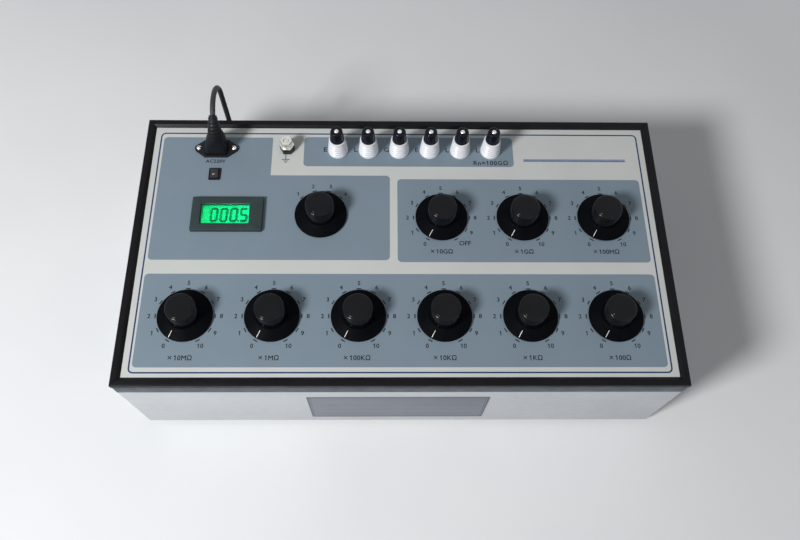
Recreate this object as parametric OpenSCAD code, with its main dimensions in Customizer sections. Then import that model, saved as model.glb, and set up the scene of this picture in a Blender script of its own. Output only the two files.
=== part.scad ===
// Insulation tester calibrator: a bench decade box with ten rotary switches, six binding posts
// and a panel meter. Millimetres, +Z up, origin on the table under the middle of the case.
// +X runs along the length, -Y is the front.

/* [Case] */
// Length across the black frame
frame_w = 588; // [575:1:640]
// Depth across the black frame
frame_d = 321; // [318:1:360]
// Height from the underside of the case to the top of the frame
body_h = 148; // [140:1:190]
// Thickness of the case walls
wall_t = 2; // [1.5:0.1:2.5]
// Outer corner radius of the case walls
wall_corner_r = 3; // [1:0.5:3.5]
// Half the seam between the walls at each corner
wall_gap = 0.1; // [0.05:0.05:0.2]
// Thickness of the base plate
base_t = 2; // [1.5:0.1:3]

/* [Frame rails] */
// How far the nose of the frame stands proud of the case walls
nose_over = 0.6; // [0.4:0.1:2.5]
// Height of the nose
nose_h = 7; // [6:0.1:9]
// Height of the leg under the nose
leg_h = 19.5; // [16:0.5:24]
// Width of the flat top of the frame, from the nose
flat_w = 6.2; // [5:0.1:7]
// Width of the frame from the nose to the panel
face_w = 9.8; // [9:0.1:12]
// Radius of the outer top edge
nose_r = 1.2; // [0.5:0.1:2]
// Metal thickness of the shelf and the tongue
rail_t = 2; // [1.5:0.1:2.5]
// Width from the nose to the inner edge of the shelf under the panel
shelf_w = 14; // [12:0.5:16]
// Depth of the tongue inside the case walls
tongue_h = 14; // [8:1:20]
// Half the open gap at each mitred corner
mitre_gap = 0.2; // [0.1:0.05:0.4]

/* [Panel] */
// Depth of the panel's surface below the frame
panel_drop = 3; // [2:0.1:4]
// Thickness of the panel
panel_t = 2; // [1.5:0.1:3]
// Clearance round the panel's edge in the frame
panel_gap = 0.3; // [0.1:0.05:0.5]

/* [Feet] */
// Height of the rubber feet
foot_h = 8; // [6:0.5:12]
// Diameter of the rubber feet
foot_d = 18; // [14:1:24]
// Diameter of the stem that snaps into the base plate
foot_stem_d = 6; // [4:0.5:8]
// Height of the snap lip above the base plate
foot_lip_h = 3; // [2:0.5:4]
// Distance of the feet from the ends of the frame
foot_inset_x = 45; // [30:1:60]
// Distance of the feet from the front and back of the frame
foot_inset_y = 35; // [25:1:50]

/* [Name plate] */
// Length of the plate on the front wall
plate_w = 196; // [150:1:230]
// Height of the plate
plate_h = 85; // [60:1:90]
// Thickness of the plate
plate_t = 0.5; // [0.3:0.1:1.2]
// Distance of the plate's lower edge from the underside of the case
plate_up = 18; // [14:1:24]
// Sideways place of the plate's middle
plate_x = -3; // [-20:1:20]

/* [Dials] */
// Distance between neighbouring dials
dial_pitch = 90.5; // [88:0.5:92]
// Place of the front row of dials
front_row_y = -84.5; // [-90:0.5:-78]
// Place of the back row of dials
back_row_y = 33; // [28:0.5:38]
// Sideways place of the selector
selector_x = -89; // [-94:0.5:-84]
// Place of the selector from front to back
selector_y = 36; // [32:0.5:40]
// Direction of a decade dial's first position, anticlockwise from +X
dial_zero = 240; // [230:1:250]
// Direction of the selector's pointer at rest, its second position of four
selector_rest = 105; // [100:1:110]

/* [Knobs] */
// Diameter of the knob's skirt
skirt_d = 58; // [50:0.5:60]
// Gap between the skirt and the panel
skirt_gap = 0.8; // [0.5:0.1:1.5]
// Height of the skirt's rim
skirt_rim_h = 2; // [1.5:0.1:3]
// Rise of the skirt's cone
skirt_cone_h = 3.8; // [3:0.1:5]
// Diameter of the grip where it meets the skirt
grip_base_d = 35; // [32:0.5:38]
// Diameter of the grip at its top edge
grip_top_d = 30.5; // [27:0.5:31]
// Height of the knob's top above the panel
knob_h = 27; // [25:0.5:32]
// Radius of the grip's top edge
grip_edge_r = 2; // [1:0.1:3]
// Diameter of the hollow under the skirt
knob_hollow_d = 24; // [22:0.5:28]
// Height of the hollow's roof above the panel
knob_hollow_h = 7.5; // [7.2:0.1:9]
// Width of the engraved pointer
pointer_w = 0.9; // [0.6:0.1:1.4]
// Depth of the engraved pointer
pointer_depth = 0.4; // [0.3:0.1:0.6]

/* [Rotary switches] */
// Diameter of the shaft
shaft_d = 6; // [5:0.1:6.35]
// Length of the shaft above the panel
shaft_up = 20; // [16:0.5:22]
// Radial running clearance of the shaft
run_gap = 0.05; // [0.03:0.01:0.08]
// Outside diameter of the threaded bushing
bush_d = 9.5; // [9:0.1:10.5]
// Height of the bushing above the panel
bush_up = 6; // [5:0.1:6.5]
// Width across flats of the bushing nut
bush_nut_af = 14; // [13:0.5:16]
// Thickness of the bushing nut
bush_nut_t = 2.5; // [2:0.1:3.5]
// Diameter of the index plate
index_d = 52; // [50:1:60]
// Thickness of the index plate
index_t = 4; // [3:0.5:6]
// Diameter of the wafers
wafer_d = 52; // [50:1:60]
// Thickness of the wafers
wafer_t = 1.6; // [1.2:0.1:2.4]
// Distance from one wafer to the next
wafer_step = 15; // [12:0.5:18]
// Diameter of the spacer posts
post_d = 4; // [3:0.1:5]
// Distance of the posts from the shaft
post_r = 22.5; // [22:0.1:23]
// Diameter of the rotor hub
rotor_d = 14; // [12:0.5:16]
// Clearance round the rotor and over the wafers
rotor_gap = 0.6; // [0.4:0.1:1]
// Reach of the wiper from the shaft
wiper_r = 17; // [14:0.5:18]
// Length of the resistor boards
board_w = 72; // [64:1:80]
// Depth of the resistor boards
board_d = 58; // [52:1:70]
// Thickness of the circuit boards
board_t = 1.6; // [1.2:0.1:2]
// Diameter of the resistors
resistor_d = 4; // [3:0.1:5]
// Length of the resistors
resistor_l = 14; // [10:0.5:18]

/* [Power board] */
// Length of the power board
power_w = 120; // [100:1:140]
// Depth of the power board
power_d = 80; // [70:1:100]
// Distance of the power board from the left wall
power_left = 39; // [25:0.5:60]
// Distance of the power board from the back wall
power_back = 81.5; // [40:0.5:110]
// Height of the power board's standoffs
standoff_h = 6; // [4:0.5:10]
// Diameter of the power board's standoffs
standoff_d = 6; // [5:0.5:8]
// Length of the transformer
transformer_w = 48; // [40:1:54]
// Depth of the transformer
transformer_d = 42; // [36:1:50]
// Height of the transformer
transformer_h = 34; // [28:1:38]
// Diameter of the capacitors
capacitor_d = 16; // [12:0.5:18]
// Height of the capacitors
capacitor_h = 25; // [20:0.5:32]

/* [Panel meter] */
// Sideways place of the meter
meter_x = -192.5; // [-196:0.5:-190]
// Place of the meter from front to back
meter_y = 35.5; // [32:0.5:40]
// Length of the bezel
bezel_w = 79; // [76:0.5:82]
// Depth of the bezel
bezel_d = 42; // [40:0.5:46]
// Height of the bezel above the panel
bezel_h = 4.5; // [4:0.1:6]
// Chamfer of the bezel's top edge
bezel_chamfer = 1.2; // [0.6:0.1:2]
// Length of the window
window_w = 53.5; // [48:0.5:54]
// Depth of the window
window_d = 24.5; // [20:0.5:26]
// Offset of the window from the middle of the bezel
window_off = -2.5; // [-4:0.5:4]
// Thickness of the window
window_t = 1.2; // [0.8:0.1:1.5]
// Depth of the window's face below the bezel's face
window_drop = 0.8; // [0.4:0.1:1.2]
// Thickness of the display
lcd_t = 1.2; // [0.8:0.1:1.2]
// Length of the module behind the bezel
module_w = 57; // [55:0.5:58]
// Depth of the module from front to back
module_d = 30; // [28:0.5:34]
// Length of the module below the panel
module_deep = 26; // [18:1:32]
// Clearance round what passes through the panel and the bezel
fit_gap = 0.2; // [0.1:0.05:0.3]

/* [Power switch] */
// Sideways place of the switch
switch_x = -211.5; // [-214:0.5:-209]
// Place of the switch from front to back
switch_y = 88; // [84:0.5:90]
// Width of the switch's flange
switch_w = 13; // [12.5:0.1:16]
// Length of the switch's flange
switch_l = 15; // [15:0.1:18]
// Height of the flange above the panel
switch_flange_h = 1.8; // [1.2:0.1:2]
// Width of the rocker
rocker_w = 8.8; // [8:0.1:9]
// Length of the rocker
rocker_l = 10.8; // [10:0.1:11]
// Side clearance of the rocker
rocker_gap = 0.3; // [0.2:0.05:0.4]
// Wall of the switch's body
switch_wall = 0.9; // [0.8:0.1:1]
// Tilt of the rocker each side of level
rocker_tilt = 9; // [6:0.5:10]
// Diameter of the rocker's pivot pins
rocker_pin_d = 1.6; // [1.2:0.1:2]
// Height of the pivot above the panel
pivot_up = 0.6; // [0.4:0.1:0.8]
// Depth of the switch's body below the panel
switch_deep = 16; // [12:1:20]

/* [Binding posts] */
// Sideways place of the first binding post
terminal_x = -72; // [-74:0.5:-70]
// Distance between neighbouring binding posts
terminal_pitch = 35.3; // [33:0.1:37]
// Place of the binding posts from front to back
terminal_y = 121; // [118:0.5:123]
// Diameter of the insulator at the panel
insulator_base_d = 23; // [20:0.5:25]
// Diameter of the insulator at its top
insulator_top_d = 19; // [17:0.1:20]
// Height of the insulator
insulator_h = 23; // [18:0.5:28]
// Height of the straight foot of the insulator
insulator_foot_h = 1.5; // [1:0.1:3]
// Diameter of the insulator's spigot in the panel
spigot_d = 12; // [10:0.5:14]
// Diameter of the threaded stud
stud_d = 5; // [4:0.1:6]
// Height of the stud's end above the cap
stud_over = 0.6; // [0.3:0.1:1]
// Length of the stud below the panel
stud_deep = 24; // [16:1:30]
// Diameter of the cap at its rim
cap_d = 16.4; // [15:0.1:17]
// Diameter of the cap at its top edge
cap_top_d = 13.6; // [12:0.1:15]
// Height of the cap
cap_h = 15.5; // [12:0.5:18]
// Radius of the cap's top edge
cap_edge_r = 1.2; // [0.8:0.1:2]
// Diameter of the clamp washer
washer_d = 10; // [8:0.1:11]
// Thickness of the clamp washers
washer_t = 1.2; // [0.8:0.1:1.6]
// Gap under the cap's rim
cap_rim_gap = 0.1; // [0.05:0.05:0.3]

/* [Earth post] */
// Sideways place of the earth post
earth_x = -130.5; // [-132:0.5:-128]
// Place of the earth post from front to back
earth_y = 122.5; // [120:0.5:124]
// Width across flats of the hexagon base
earth_base_af = 15; // [13:0.5:16]
// Height of the hexagon base
earth_base_h = 9.5; // [7:0.5:12]
// Diameter of the earth stud
earth_stud_d = 6; // [5:0.1:6.4]
// Height of the stud's end above the panel
earth_stud_up = 17.5; // [17:0.5:24]
// Width across flats of the nuts
earth_nut_af = 12; // [10:0.5:13]
// Height of the nut
earth_nut_h = 7; // [5:0.5:7.5]
// Diameter of the earth washer
earth_washer_d = 14; // [12:0.5:15]

/* [Mains inlet] */
// Sideways place of the inlet
inlet_x = -212; // [-214:0.5:-210]
// Place of the inlet from front to back
inlet_y = 122; // [120:0.5:124]
// Distance between the inlet's screws
inlet_screw_pitch = 40; // [39.5:0.1:40.5]
// Radius of the flange's rounded ends
inlet_end_r = 5; // [4.5:0.1:6]
// Depth of the flange from front to back
inlet_d = 23.5; // [22:0.5:26]
// Length of the flange's straight edges
inlet_edge = 26; // [24:0.5:29]
// Thickness of the flange
inlet_t = 2.5; // [2:0.1:3.5]
// Length of the socket's recess
socket_w = 24.6; // [24:0.1:25]
// Depth of the socket's recess from front to back
socket_d = 16.6; // [16:0.1:17]
// Depth of the socket's recess from top to bottom
socket_deep = 17; // [15:0.5:19]
// Wall of the inlet's body
inlet_wall = 1.5; // [1.2:0.1:1.8]
// Diameter of the inlet's screws
inlet_screw_d = 3; // [2.5:0.1:3.5]

/* [Mains lead] */
// Diameter of the cord
cord_d = 6; // [5:0.1:6]
// Clearance round the connector in the socket
connector_gap = 0.3; // [0.2:0.05:0.5]
// Length of the connector's body at its foot
connector_w = 23.4; // [22:0.1:25]
// Depth of the connector's body from front to back
connector_d = 18.4; // [17:0.1:19]
// Height of the connector above the panel, to its strain relief
connector_h = 30; // [24:0.5:36]
// Radius of the strain relief's bend
boot_bend_r = 26; // [24:1:34]
// Diameter of the strain relief at the connector
boot_base_d = 17.5; // [14:0.5:19]
// Distance that the connector leans to the right at its top
boot_lean = 4.3; // [0:0.1:8]
// Diameter of the strain relief at the cord
boot_end_d = 9.5; // [8:0.1:10]
// Distance between neighbouring turns of the coil, and between its layers
coil_step = 6.6; // [6.5:0.1:7.2]
// Number of turns in the coil's lower layer
coil_turns = 3; // [2:1:3]
// Radius of the coil's outermost turn
coil_r = 45; // [45:0.5:48]
// Length of the plug's body
plug_l = 36; // [30:1:42]
// Width of the plug's body
plug_w = 32; // [28:1:34]
// Height of the plug's body
plug_h = 28; // [26:1:30]

/* [Hidden] */
$fn = 64;

// A cut runs this far past the face that it opens
cut = 1;

// Levels and outlines that follow from the sizes above
frame_top = foot_h + body_h;
panel_top = frame_top - panel_drop;
panel_bottom = panel_top - panel_t;
wall_top = frame_top - nose_h - leg_h;
wall_w = frame_w - 2 * nose_over;
wall_d = frame_d - 2 * nose_over;
inner_w = wall_w - 2 * wall_t;
inner_d = wall_d - 2 * wall_t;
slot_u = nose_over + wall_t;

// Places of the dials: three in the back row over the right half of the front row of six
front_row = [for (i = [0:5]) [(i - 2.5) * dial_pitch, front_row_y]];
back_row = [for (i = [3:5]) [(i - 2.5) * dial_pitch, back_row_y]];
dials = concat(back_row, front_row);
selector = [selector_x, selector_y];
switches = concat(dials, [selector]);
terminals = [for (i = [0:5]) [terminal_x + i * terminal_pitch, terminal_y]];

// Heights of the wafers, of the resistor boards and of the shafts' lower ends
wafers = [for (i = [1:2]) panel_bottom - index_t - i * wafer_step];
board_top = wafers[1] - wafer_step;
shaft_low = wafers[1] - wafer_step / 2;

// Heights in the binding and earth posts
insulator_top = panel_top + insulator_h;
cap_top = insulator_top + cap_h;
earth_washer_z = panel_top + earth_base_h;
earth_nut_z = earth_washer_z + washer_t;

// Outside of the inlet's body below the panel
inlet_body_w = socket_w + 2 * inlet_wall;
inlet_body_d = socket_d + 2 * inlet_wall;

// Contacts of the inlet: one in the middle and one on each side
inlet_pins = [[0, 2], [-7, -2], [7, -2]];
inlet_pin = [2, 4];
inlet_pin_up = 14;
pin_gap = 0.4;

// Height of the rocker's ends above its pivot, how far they swing, and the well they swing in
rocker_up = 3.1;
rocker_swing = rocker_up * sin(rocker_tilt);
well_deep = 6;
well_w = rocker_w + 2 * rocker_gap;
well_l = rocker_l + 2 * rocker_gap + 2 * rocker_swing;
switch_body_w = well_w + 2 * switch_wall;
switch_body_l = well_l + 2 * switch_wall;

// Across-corners diameter of a hexagon from its width across flats
function hex_d(flats) = flats / cos(30);

// Points along an arc, from one angle to another
function arc(c, r, from, to, steps = 6) =
    [for (i = [0:steps]) c + r * [cos(from + (to - from) * i / steps), sin(from + (to - from) * i / steps)]];

// Tubes swept along a path: rings of points, joined by triangles
function unit(v) = v / norm(v);
function heading(path, i) = unit(path[min(i + 1, len(path) - 1)] - path[max(i - 1, 0)]);
function ring(c, t, ref, r, n) =
    let (u = unit(cross(t, ref)), v = cross(t, u))
    [for (k = [0:n - 1]) c + r * (cos(360 * k / n) * u + sin(360 * k / n) * v)];
function tube_points(path, radii, ref, n) =
    [for (i = [0:len(path) - 1]) each ring(path[i], heading(path, i), ref, radii[i], n)];
function tube_sides(m, n) = [
    for (i = [0:m - 2], k = [0:n - 1])
        let (a = i * n + k, b = i * n + (k + 1) % n)
        each [[a, b + n, b], [a, a + n, b + n]]
];
function tube_ends(m, n) = [
    for (k = [1:n - 2])
        let (last = (m - 1) * n)
        each [[0, k, k + 1], [last, last + k + 1, last + k]]
];
module tube(path, radii, ref, n) {
    polyhedron(
        tube_points(path, radii, ref, n),
        concat(tube_sides(len(path), n), tube_ends(len(path), n))
    );
}

// Strain relief of the connector: it starts inside the body and leans back over the frame
boot_sides = 16;
boot_steps = 8;
boot_turn = acos(0.6);
boot_root = 1;
boot_z = panel_top + connector_h;
boot_x = inlet_x + boot_lean;
boot_path = concat(
    [[boot_x, inlet_y, boot_z - boot_root]],
    [
        for (i = [0:boot_steps])
            let (a = boot_turn * i / boot_steps)
            [boot_x, inlet_y + boot_bend_r * (1 - cos(a)), boot_z + boot_bend_r * sin(a)]
    ]
);
boot_radii = concat(
    [boot_base_d / 2],
    [for (i = [0:boot_steps]) (boot_base_d + (boot_end_d - boot_base_d) * i / boot_steps) / 2]
);

// Route of the cord: an arch over the back of the frame, a drop behind the case and a bend
// along the floor to the coil
cord_start = boot_path[boot_steps + 1];
cord_arch = [
    [0, 0], [9, 4.5], [18, 6], [27, 4.5], [36, 0], [43, -7.5], [47, -16.5], [48, -27]
];
cord_drop = [162, 145, 128, 111, 94, 77, 60, 46, 34];
drop_x = cord_start[0];
drop_y = cord_start[1] + cord_arch[len(cord_arch) - 1][0];
cord_floor_z = 4;
cord_bend = [[2, 23], [6, 16], [12, 10], [21, 5.4], [30, cord_floor_z]];
cord_floor = [
    [-170, 180.5], [-158, 177.5], [-146, 173.5], [-134, 170], [-127, 168.8], [-121, 168.5]
];
cord_path = concat(
    [for (p = cord_arch) cord_start + [0, p[0], p[1]]],
    [for (z = cord_drop) [drop_x, drop_y, z]],
    [for (p = cord_bend) [drop_x + p[0], drop_y, p[1]]],
    [for (p = cord_floor) [p[0], p[1], cord_floor_z]]
);
cord_sides = 10;
cord_ref = [1, 1, 0];

// Coil: a spiral that runs in on the floor, climbs where it turns round and runs out on top
coil_sides = 6;
coil_rings = 24;
coil_lead = 6;
coil_start = [-115, 168.5];
coil_centre = coil_start + [0, coil_r];
coil_in_r = coil_r - coil_turns * coil_step;
coil_first = -90;
coil_last = -60;
coil_out_turns = coil_turns + (coil_last - coil_first) / 360;
coil_top_z = cord_floor_z + coil_step;
climb = 0.25;
function climbed(t) = max(0, min(1, (t + climb) / (2 * climb)));
function coil_at(t) =
    let (a = coil_first + 360 * (t + coil_turns), r = coil_in_r + coil_step * abs(t))
    [coil_centre[0] + r * cos(a), coil_centre[1] + r * sin(a), cord_floor_z + coil_step * climbed(t)];
coil_count = round((coil_turns + coil_out_turns) * coil_rings);
coil_loops = [for (i = [0:coil_count]) coil_at(-coil_turns + i / coil_rings)];

// The coil's tail leaves the top layer straight on and lifts to the middle of the plug
tail_l = 30;
tail_steps = 5;
tail_dir = [-sin(coil_last), cos(coil_last)];
tail_lift = plug_h / 2 - coil_top_z;
function eased(t) = let (s = max(0, min(1, t))) s * s * (3 - 2 * s);
tail_from = [coil_loops[coil_count][0], coil_loops[coil_count][1]];
coil_tail = [
    for (i = [1:tail_steps])
        let (s = i / tail_steps, p = tail_from + tail_dir * tail_l * s)
        [p[0], p[1], coil_top_z + tail_lift * eased(s / 0.8)]
];
coil_lead_in = [coil_start[0] - coil_lead, coil_start[1], cord_floor_z];
coil_path = concat([coil_lead_in], coil_loops, coil_tail);
coil_gap = min([
    for (i = [0:len(coil_path) - 1], j = [i + coil_rings / 2:1:len(coil_path) - 1])
        norm(coil_path[i] - coil_path[j])
]) - cord_d;
function path_l(path, i = 1) =
    i < len(path) ? norm(path[i] - path[i - 1]) + path_l(path, i + 1) : 0;
echo(coil_gap = coil_gap, cord_length = path_l(cord_path) + path_l(coil_path));

// Tie round the coil's left side
tie_w = 8;
tie_t = 0.6;
tie_gap = 0.35;
tie_side_gap = 0.8;

// Plain rectangle with round corners
module round_rect(w, d, r) {
    square([w - 2 * r, d], center = true);
    square([w, d - 2 * r], center = true);
    for (x = [-1, 1], y = [-1, 1])
        translate([x * (w / 2 - r), y * (d / 2 - r)])
            circle(r);
}

// One wall along X at the front, mitred at both ends and turned to its side
module wall_outline(l, out, turn) {
    intersection() {
        round_rect(wall_w, wall_d, wall_corner_r);
        rotate(turn)
            polygon([
                [wall_gap - l / 2, -out / 2],
                [l / 2 - wall_gap, -out / 2],
                [l / 2 - wall_t - wall_gap, wall_t - out / 2],
                [wall_t + wall_gap - l / 2, wall_t - out / 2]
            ]);
    }
}

module case_walls() {
    color("whitesmoke")
        translate([0, 0, foot_h])
            linear_extrude(wall_top - foot_h) {
                for (turn = [0, 180])
                    wall_outline(wall_w, wall_d, turn);
                for (turn = [90, 270])
                    wall_outline(wall_d, wall_w, turn);
            }
}

// The four places of the feet
module at_feet() {
    for (x = [-1, 1], y = [-1, 1])
        translate([x * (frame_w / 2 - foot_inset_x), y * (frame_d / 2 - foot_inset_y), 0])
            children();
}

module base_plate() {
    color("gainsboro")
        difference() {
            translate([-inner_w / 2, -inner_d / 2, foot_h])
                cube([inner_w, inner_d, base_t]);
            at_feet()
                translate([0, 0, foot_h - cut])
                    cylinder(d = foot_stem_d, h = base_t + 2 * cut);
        }
}

module rubber_feet() {
    foot_chamfer = 1;
    lip = 1.2;
    lip_base = foot_h + base_t;
    color("dimgray")
        at_feet()
            rotate_extrude()
                polygon([
                    [0, 0],
                    [foot_d / 2 - foot_chamfer, 0],
                    [foot_d / 2, foot_chamfer],
                    [foot_d / 2, foot_h],
                    [foot_stem_d / 2, foot_h],
                    [foot_stem_d / 2, lip_base],
                    [foot_stem_d / 2 + lip, lip_base],
                    [foot_stem_d / 2, lip_base + foot_lip_h],
                    [0, lip_base + foot_lip_h]
                ]);
}

// Section of the frame moulding: nose and leg outside, lip over the panel, shelf under it,
// and a tongue inside the case wall
rail_section = concat(
    [[nose_over, frame_top - nose_h], [0, frame_top - nose_h]],
    arc([nose_r, frame_top - nose_r], nose_r, 180, 90),
    [
        [flat_w, frame_top],
        [face_w, panel_top],
        [slot_u, panel_top],
        [slot_u, panel_bottom],
        [shelf_w, panel_bottom],
        [shelf_w, panel_bottom - rail_t],
        [slot_u + rail_t, panel_bottom - rail_t],
        [slot_u + rail_t, wall_top - tongue_h],
        [slot_u, wall_top - tongue_h],
        [slot_u, wall_top],
        [nose_over, wall_top]
    ]
);

// One rail along X at the front, mitred at both ends
module frame_rail(l, out) {
    mitre = shelf_w + cut;
    end = l / 2 - mitre_gap;
    intersection() {
        translate([-l / 2, -out, 0])
            rotate([90, 0, 90])
                linear_extrude(l)
                    polygon(rail_section);
        linear_extrude(frame_top + cut)
            polygon([[-end, -out], [end, -out], [end - mitre, mitre - out], [mitre - end, mitre - out]]);
    }
}

module long_frame_rails() {
    color("black")
        for (a = [0, 180])
            rotate(a)
                frame_rail(frame_w, frame_d / 2);
}

module short_frame_rails() {
    color("black")
        for (a = [90, 270])
            rotate(a)
                frame_rail(frame_d, frame_w / 2);
}

// The opening that a body of the given size needs in the panel
module panel_window(x, y, w, d) {
    translate([x - w / 2 - fit_gap, y - d / 2 - fit_gap, panel_bottom - cut])
        cube([w + 2 * fit_gap, d + 2 * fit_gap, panel_t + 2 * cut]);
}

// A round hole through the panel
module panel_hole(p, d) {
    translate([p[0], p[1], panel_bottom - cut])
        cylinder(d = d, h = panel_t + 2 * cut);
}

module panel_plate() {
    panel_w = inner_w - 2 * panel_gap;
    panel_d = inner_d - 2 * panel_gap;
    color("silver")
        difference() {
            translate([-panel_w / 2, -panel_d / 2, panel_bottom])
                cube([panel_w, panel_d, panel_t]);
            for (p = switches)
                panel_hole(p, bush_d);
            for (p = terminals)
                panel_hole(p, spigot_d);
            panel_hole([earth_x, earth_y], earth_stud_d);
            for (x = [-1, 1])
                panel_hole([inlet_x + x * inlet_screw_pitch / 2, inlet_y], inlet_screw_d);
            panel_window(inlet_x, inlet_y, inlet_body_w, inlet_body_d);
            panel_window(switch_x, switch_y, switch_body_w, switch_body_l);
            panel_window(meter_x + window_off, meter_y, module_w, module_d);
        }
}

module name_plate() {
    color("lightsteelblue")
        translate([plate_x - plate_w / 2, -wall_d / 2 - plate_t, foot_h + plate_up])
            cube([plate_w, plate_t, plate_h]);
}

// Knob with a skirt, turned so that its pointer lies along +X
module knob() {
    skirt_r = skirt_d / 2;
    rim_top = skirt_gap + skirt_rim_h;
    cone_top = rim_top + skirt_cone_h;
    rim_edge = 0.5;
    foot_fillet = 1.5;
    cone_in_r = grip_base_d / 2 + foot_fillet;
    cone_run = skirt_r - rim_edge - cone_in_r;
    pointer_margin = 0.6;
    pointer_l = norm([cone_run, skirt_cone_h]) - 2 * pointer_margin;
    difference() {
        rotate_extrude()
            polygon(concat(
                [
                    [shaft_d / 2, shaft_up],
                    [shaft_d / 2, knob_hollow_h],
                    [knob_hollow_d / 2, knob_hollow_h],
                    [knob_hollow_d / 2, skirt_gap],
                    [skirt_r - rim_edge, skirt_gap],
                    [skirt_r, skirt_gap + rim_edge],
                    [skirt_r, rim_top - rim_edge],
                    [skirt_r - rim_edge, rim_top]
                ],
                arc([cone_in_r, cone_top + foot_fillet], foot_fillet, 270, 190, 4),
                arc([grip_top_d / 2 - grip_edge_r, knob_h - grip_edge_r], grip_edge_r, 0, 90),
                [[0, knob_h], [0, shaft_up]]
            ));
        translate([skirt_r - rim_edge, 0, rim_top])
            rotate([0, atan2(skirt_cone_h, cone_run), 0])
                translate([-pointer_margin - pointer_l, -pointer_w / 2, -pointer_depth])
                    cube([pointer_l, pointer_w, 2 * pointer_depth]);
    }
}

module dial_knob(p, zero) {
    color("black")
        translate([p[0], p[1], panel_top])
            rotate(zero)
                knob();
}

// Shaft with a rotor and a wiper at each wafer
module dial_shaft(p, zero) {
    wiper_w = 4;
    wiper_t = 0.8;
    color("goldenrod")
        translate([p[0], p[1], 0])
            rotate(zero) {
                translate([0, 0, shaft_low])
                    cylinder(d = shaft_d, h = panel_top + shaft_up - shaft_low);
                for (z = wafers) {
                    translate([0, 0, z - wafer_t])
                        cylinder(d = rotor_d, h = wafer_t + rotor_gap + wiper_t);
                    translate([0, -wiper_w / 2, z + rotor_gap])
                        cube([wiper_r, wiper_w, wiper_t]);
                }
            }
}

// Fixed part of a rotary switch: bushing, index plate, posts and wafers
module switch_body() {
    difference() {
        union() {
            translate([0, 0, panel_bottom])
                cylinder(d = bush_d, h = panel_t + bush_up);
            translate([0, 0, panel_bottom - index_t])
                cylinder(d = index_d, h = index_t);
            for (z = wafers)
                translate([0, 0, z - wafer_t])
                    cylinder(d = wafer_d, h = wafer_t);
            for (x = [-1, 1])
                translate([x * post_r, 0, board_top])
                    cylinder(d = post_d, h = panel_bottom - index_t / 2 - board_top);
        }
        translate([0, 0, panel_bottom - index_t - cut])
            cylinder(d = shaft_d + 2 * run_gap, h = index_t + panel_t + bush_up + 2 * cut);
        for (z = wafers)
            translate([0, 0, z - wafer_t - cut])
                cylinder(d = rotor_d + 2 * rotor_gap, h = wafer_t + 2 * cut);
    }
}

module switch_bodies() {
    color("peru")
        for (p = switches)
            translate([p[0], p[1], 0])
                switch_body();
}

module bushing_nuts() {
    color("lightgray")
        for (p = switches)
            translate([p[0], p[1], panel_top])
                difference() {
                    cylinder(d = hex_d(bush_nut_af), h = bush_nut_t, $fn = 6);
                    translate([0, 0, -cut])
                        cylinder(d = bush_d, h = bush_nut_t + 2 * cut);
                }
}

// A board under each decade switch, with ten resistors let a little into its underside
module resistor_boards() {
    columns = 5;
    margin = 8;
    step_x = (board_w - 2 * margin) / (columns - 1);
    sunk = 0.4;
    color("seagreen")
        for (p = dials)
            translate([p[0], p[1], board_top - board_t]) {
                translate([-board_w / 2, -board_d / 2, 0])
                    cube([board_w, board_d, board_t]);
                for (i = [0:columns - 1], y = [-1, 1])
                    translate([
                        margin - board_w / 2 + i * step_x,
                        y * board_d / 4 + resistor_l / 2,
                        sunk - resistor_d / 2
                    ])
                        rotate([90, 0, 0])
                            cylinder(d = resistor_d, h = resistor_l);
            }
}

// Mains board on the base plate, with its transformer and two capacitors
module power_board() {
    corner = standoff_d;
    floor_z = foot_h + base_t;
    board_z = floor_z + standoff_h;
    x = power_left + power_w / 2 - inner_w / 2;
    y = inner_d / 2 - power_back - power_d / 2;
    color("darkolivegreen")
        translate([x, y, 0]) {
            translate([-power_w / 2, -power_d / 2, board_z])
                cube([power_w, power_d, board_t]);
            for (sx = [-1, 1], sy = [-1, 1])
                translate([sx * (power_w / 2 - corner), sy * (power_d / 2 - corner), floor_z])
                    cylinder(d = standoff_d, h = standoff_h);
            translate([2 * corner - power_w / 2, -transformer_d / 2, board_z + board_t])
                cube([transformer_w, transformer_d, transformer_h]);
            for (sy = [-1, 1])
                translate([power_w / 4, sy * power_d / 5, board_z + board_t])
                    cylinder(d = capacitor_d, h = capacitor_h);
        }
}

module meter_bezel() {
    top = panel_top + bezel_h;
    edge = bezel_h - bezel_chamfer;
    color("dimgray")
        difference() {
            translate([meter_x, meter_y, panel_top])
                intersection() {
                    translate([0, bezel_d / 2, 0])
                        rotate([90, 0, 0])
                            linear_extrude(bezel_d)
                                bezel_profile(bezel_w, edge);
                    translate([-bezel_w / 2, 0, 0])
                        rotate([90, 0, 90])
                            linear_extrude(bezel_w)
                                bezel_profile(bezel_d, edge);
                }
            translate([meter_x + window_off - window_w / 2, meter_y - window_d / 2, panel_top - cut])
                cube([window_w, window_d, top - panel_top + 2 * cut]);
        }
}

// Side view of the bezel: straight to the edge, then chamfered to the top
module bezel_profile(w, edge) {
    polygon([
        [-w / 2, 0],
        [w / 2, 0],
        [w / 2, edge],
        [w / 2 - bezel_chamfer, bezel_h],
        [bezel_chamfer - w / 2, bezel_h],
        [-w / 2, edge]
    ]);
}

module meter_window() {
    color("lightgreen", 0.4)
        translate([
            meter_x + window_off - window_w / 2,
            meter_y - window_d / 2,
            panel_top + bezel_h - window_drop - window_t
        ])
            cube([window_w, window_d, window_t]);
}

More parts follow.
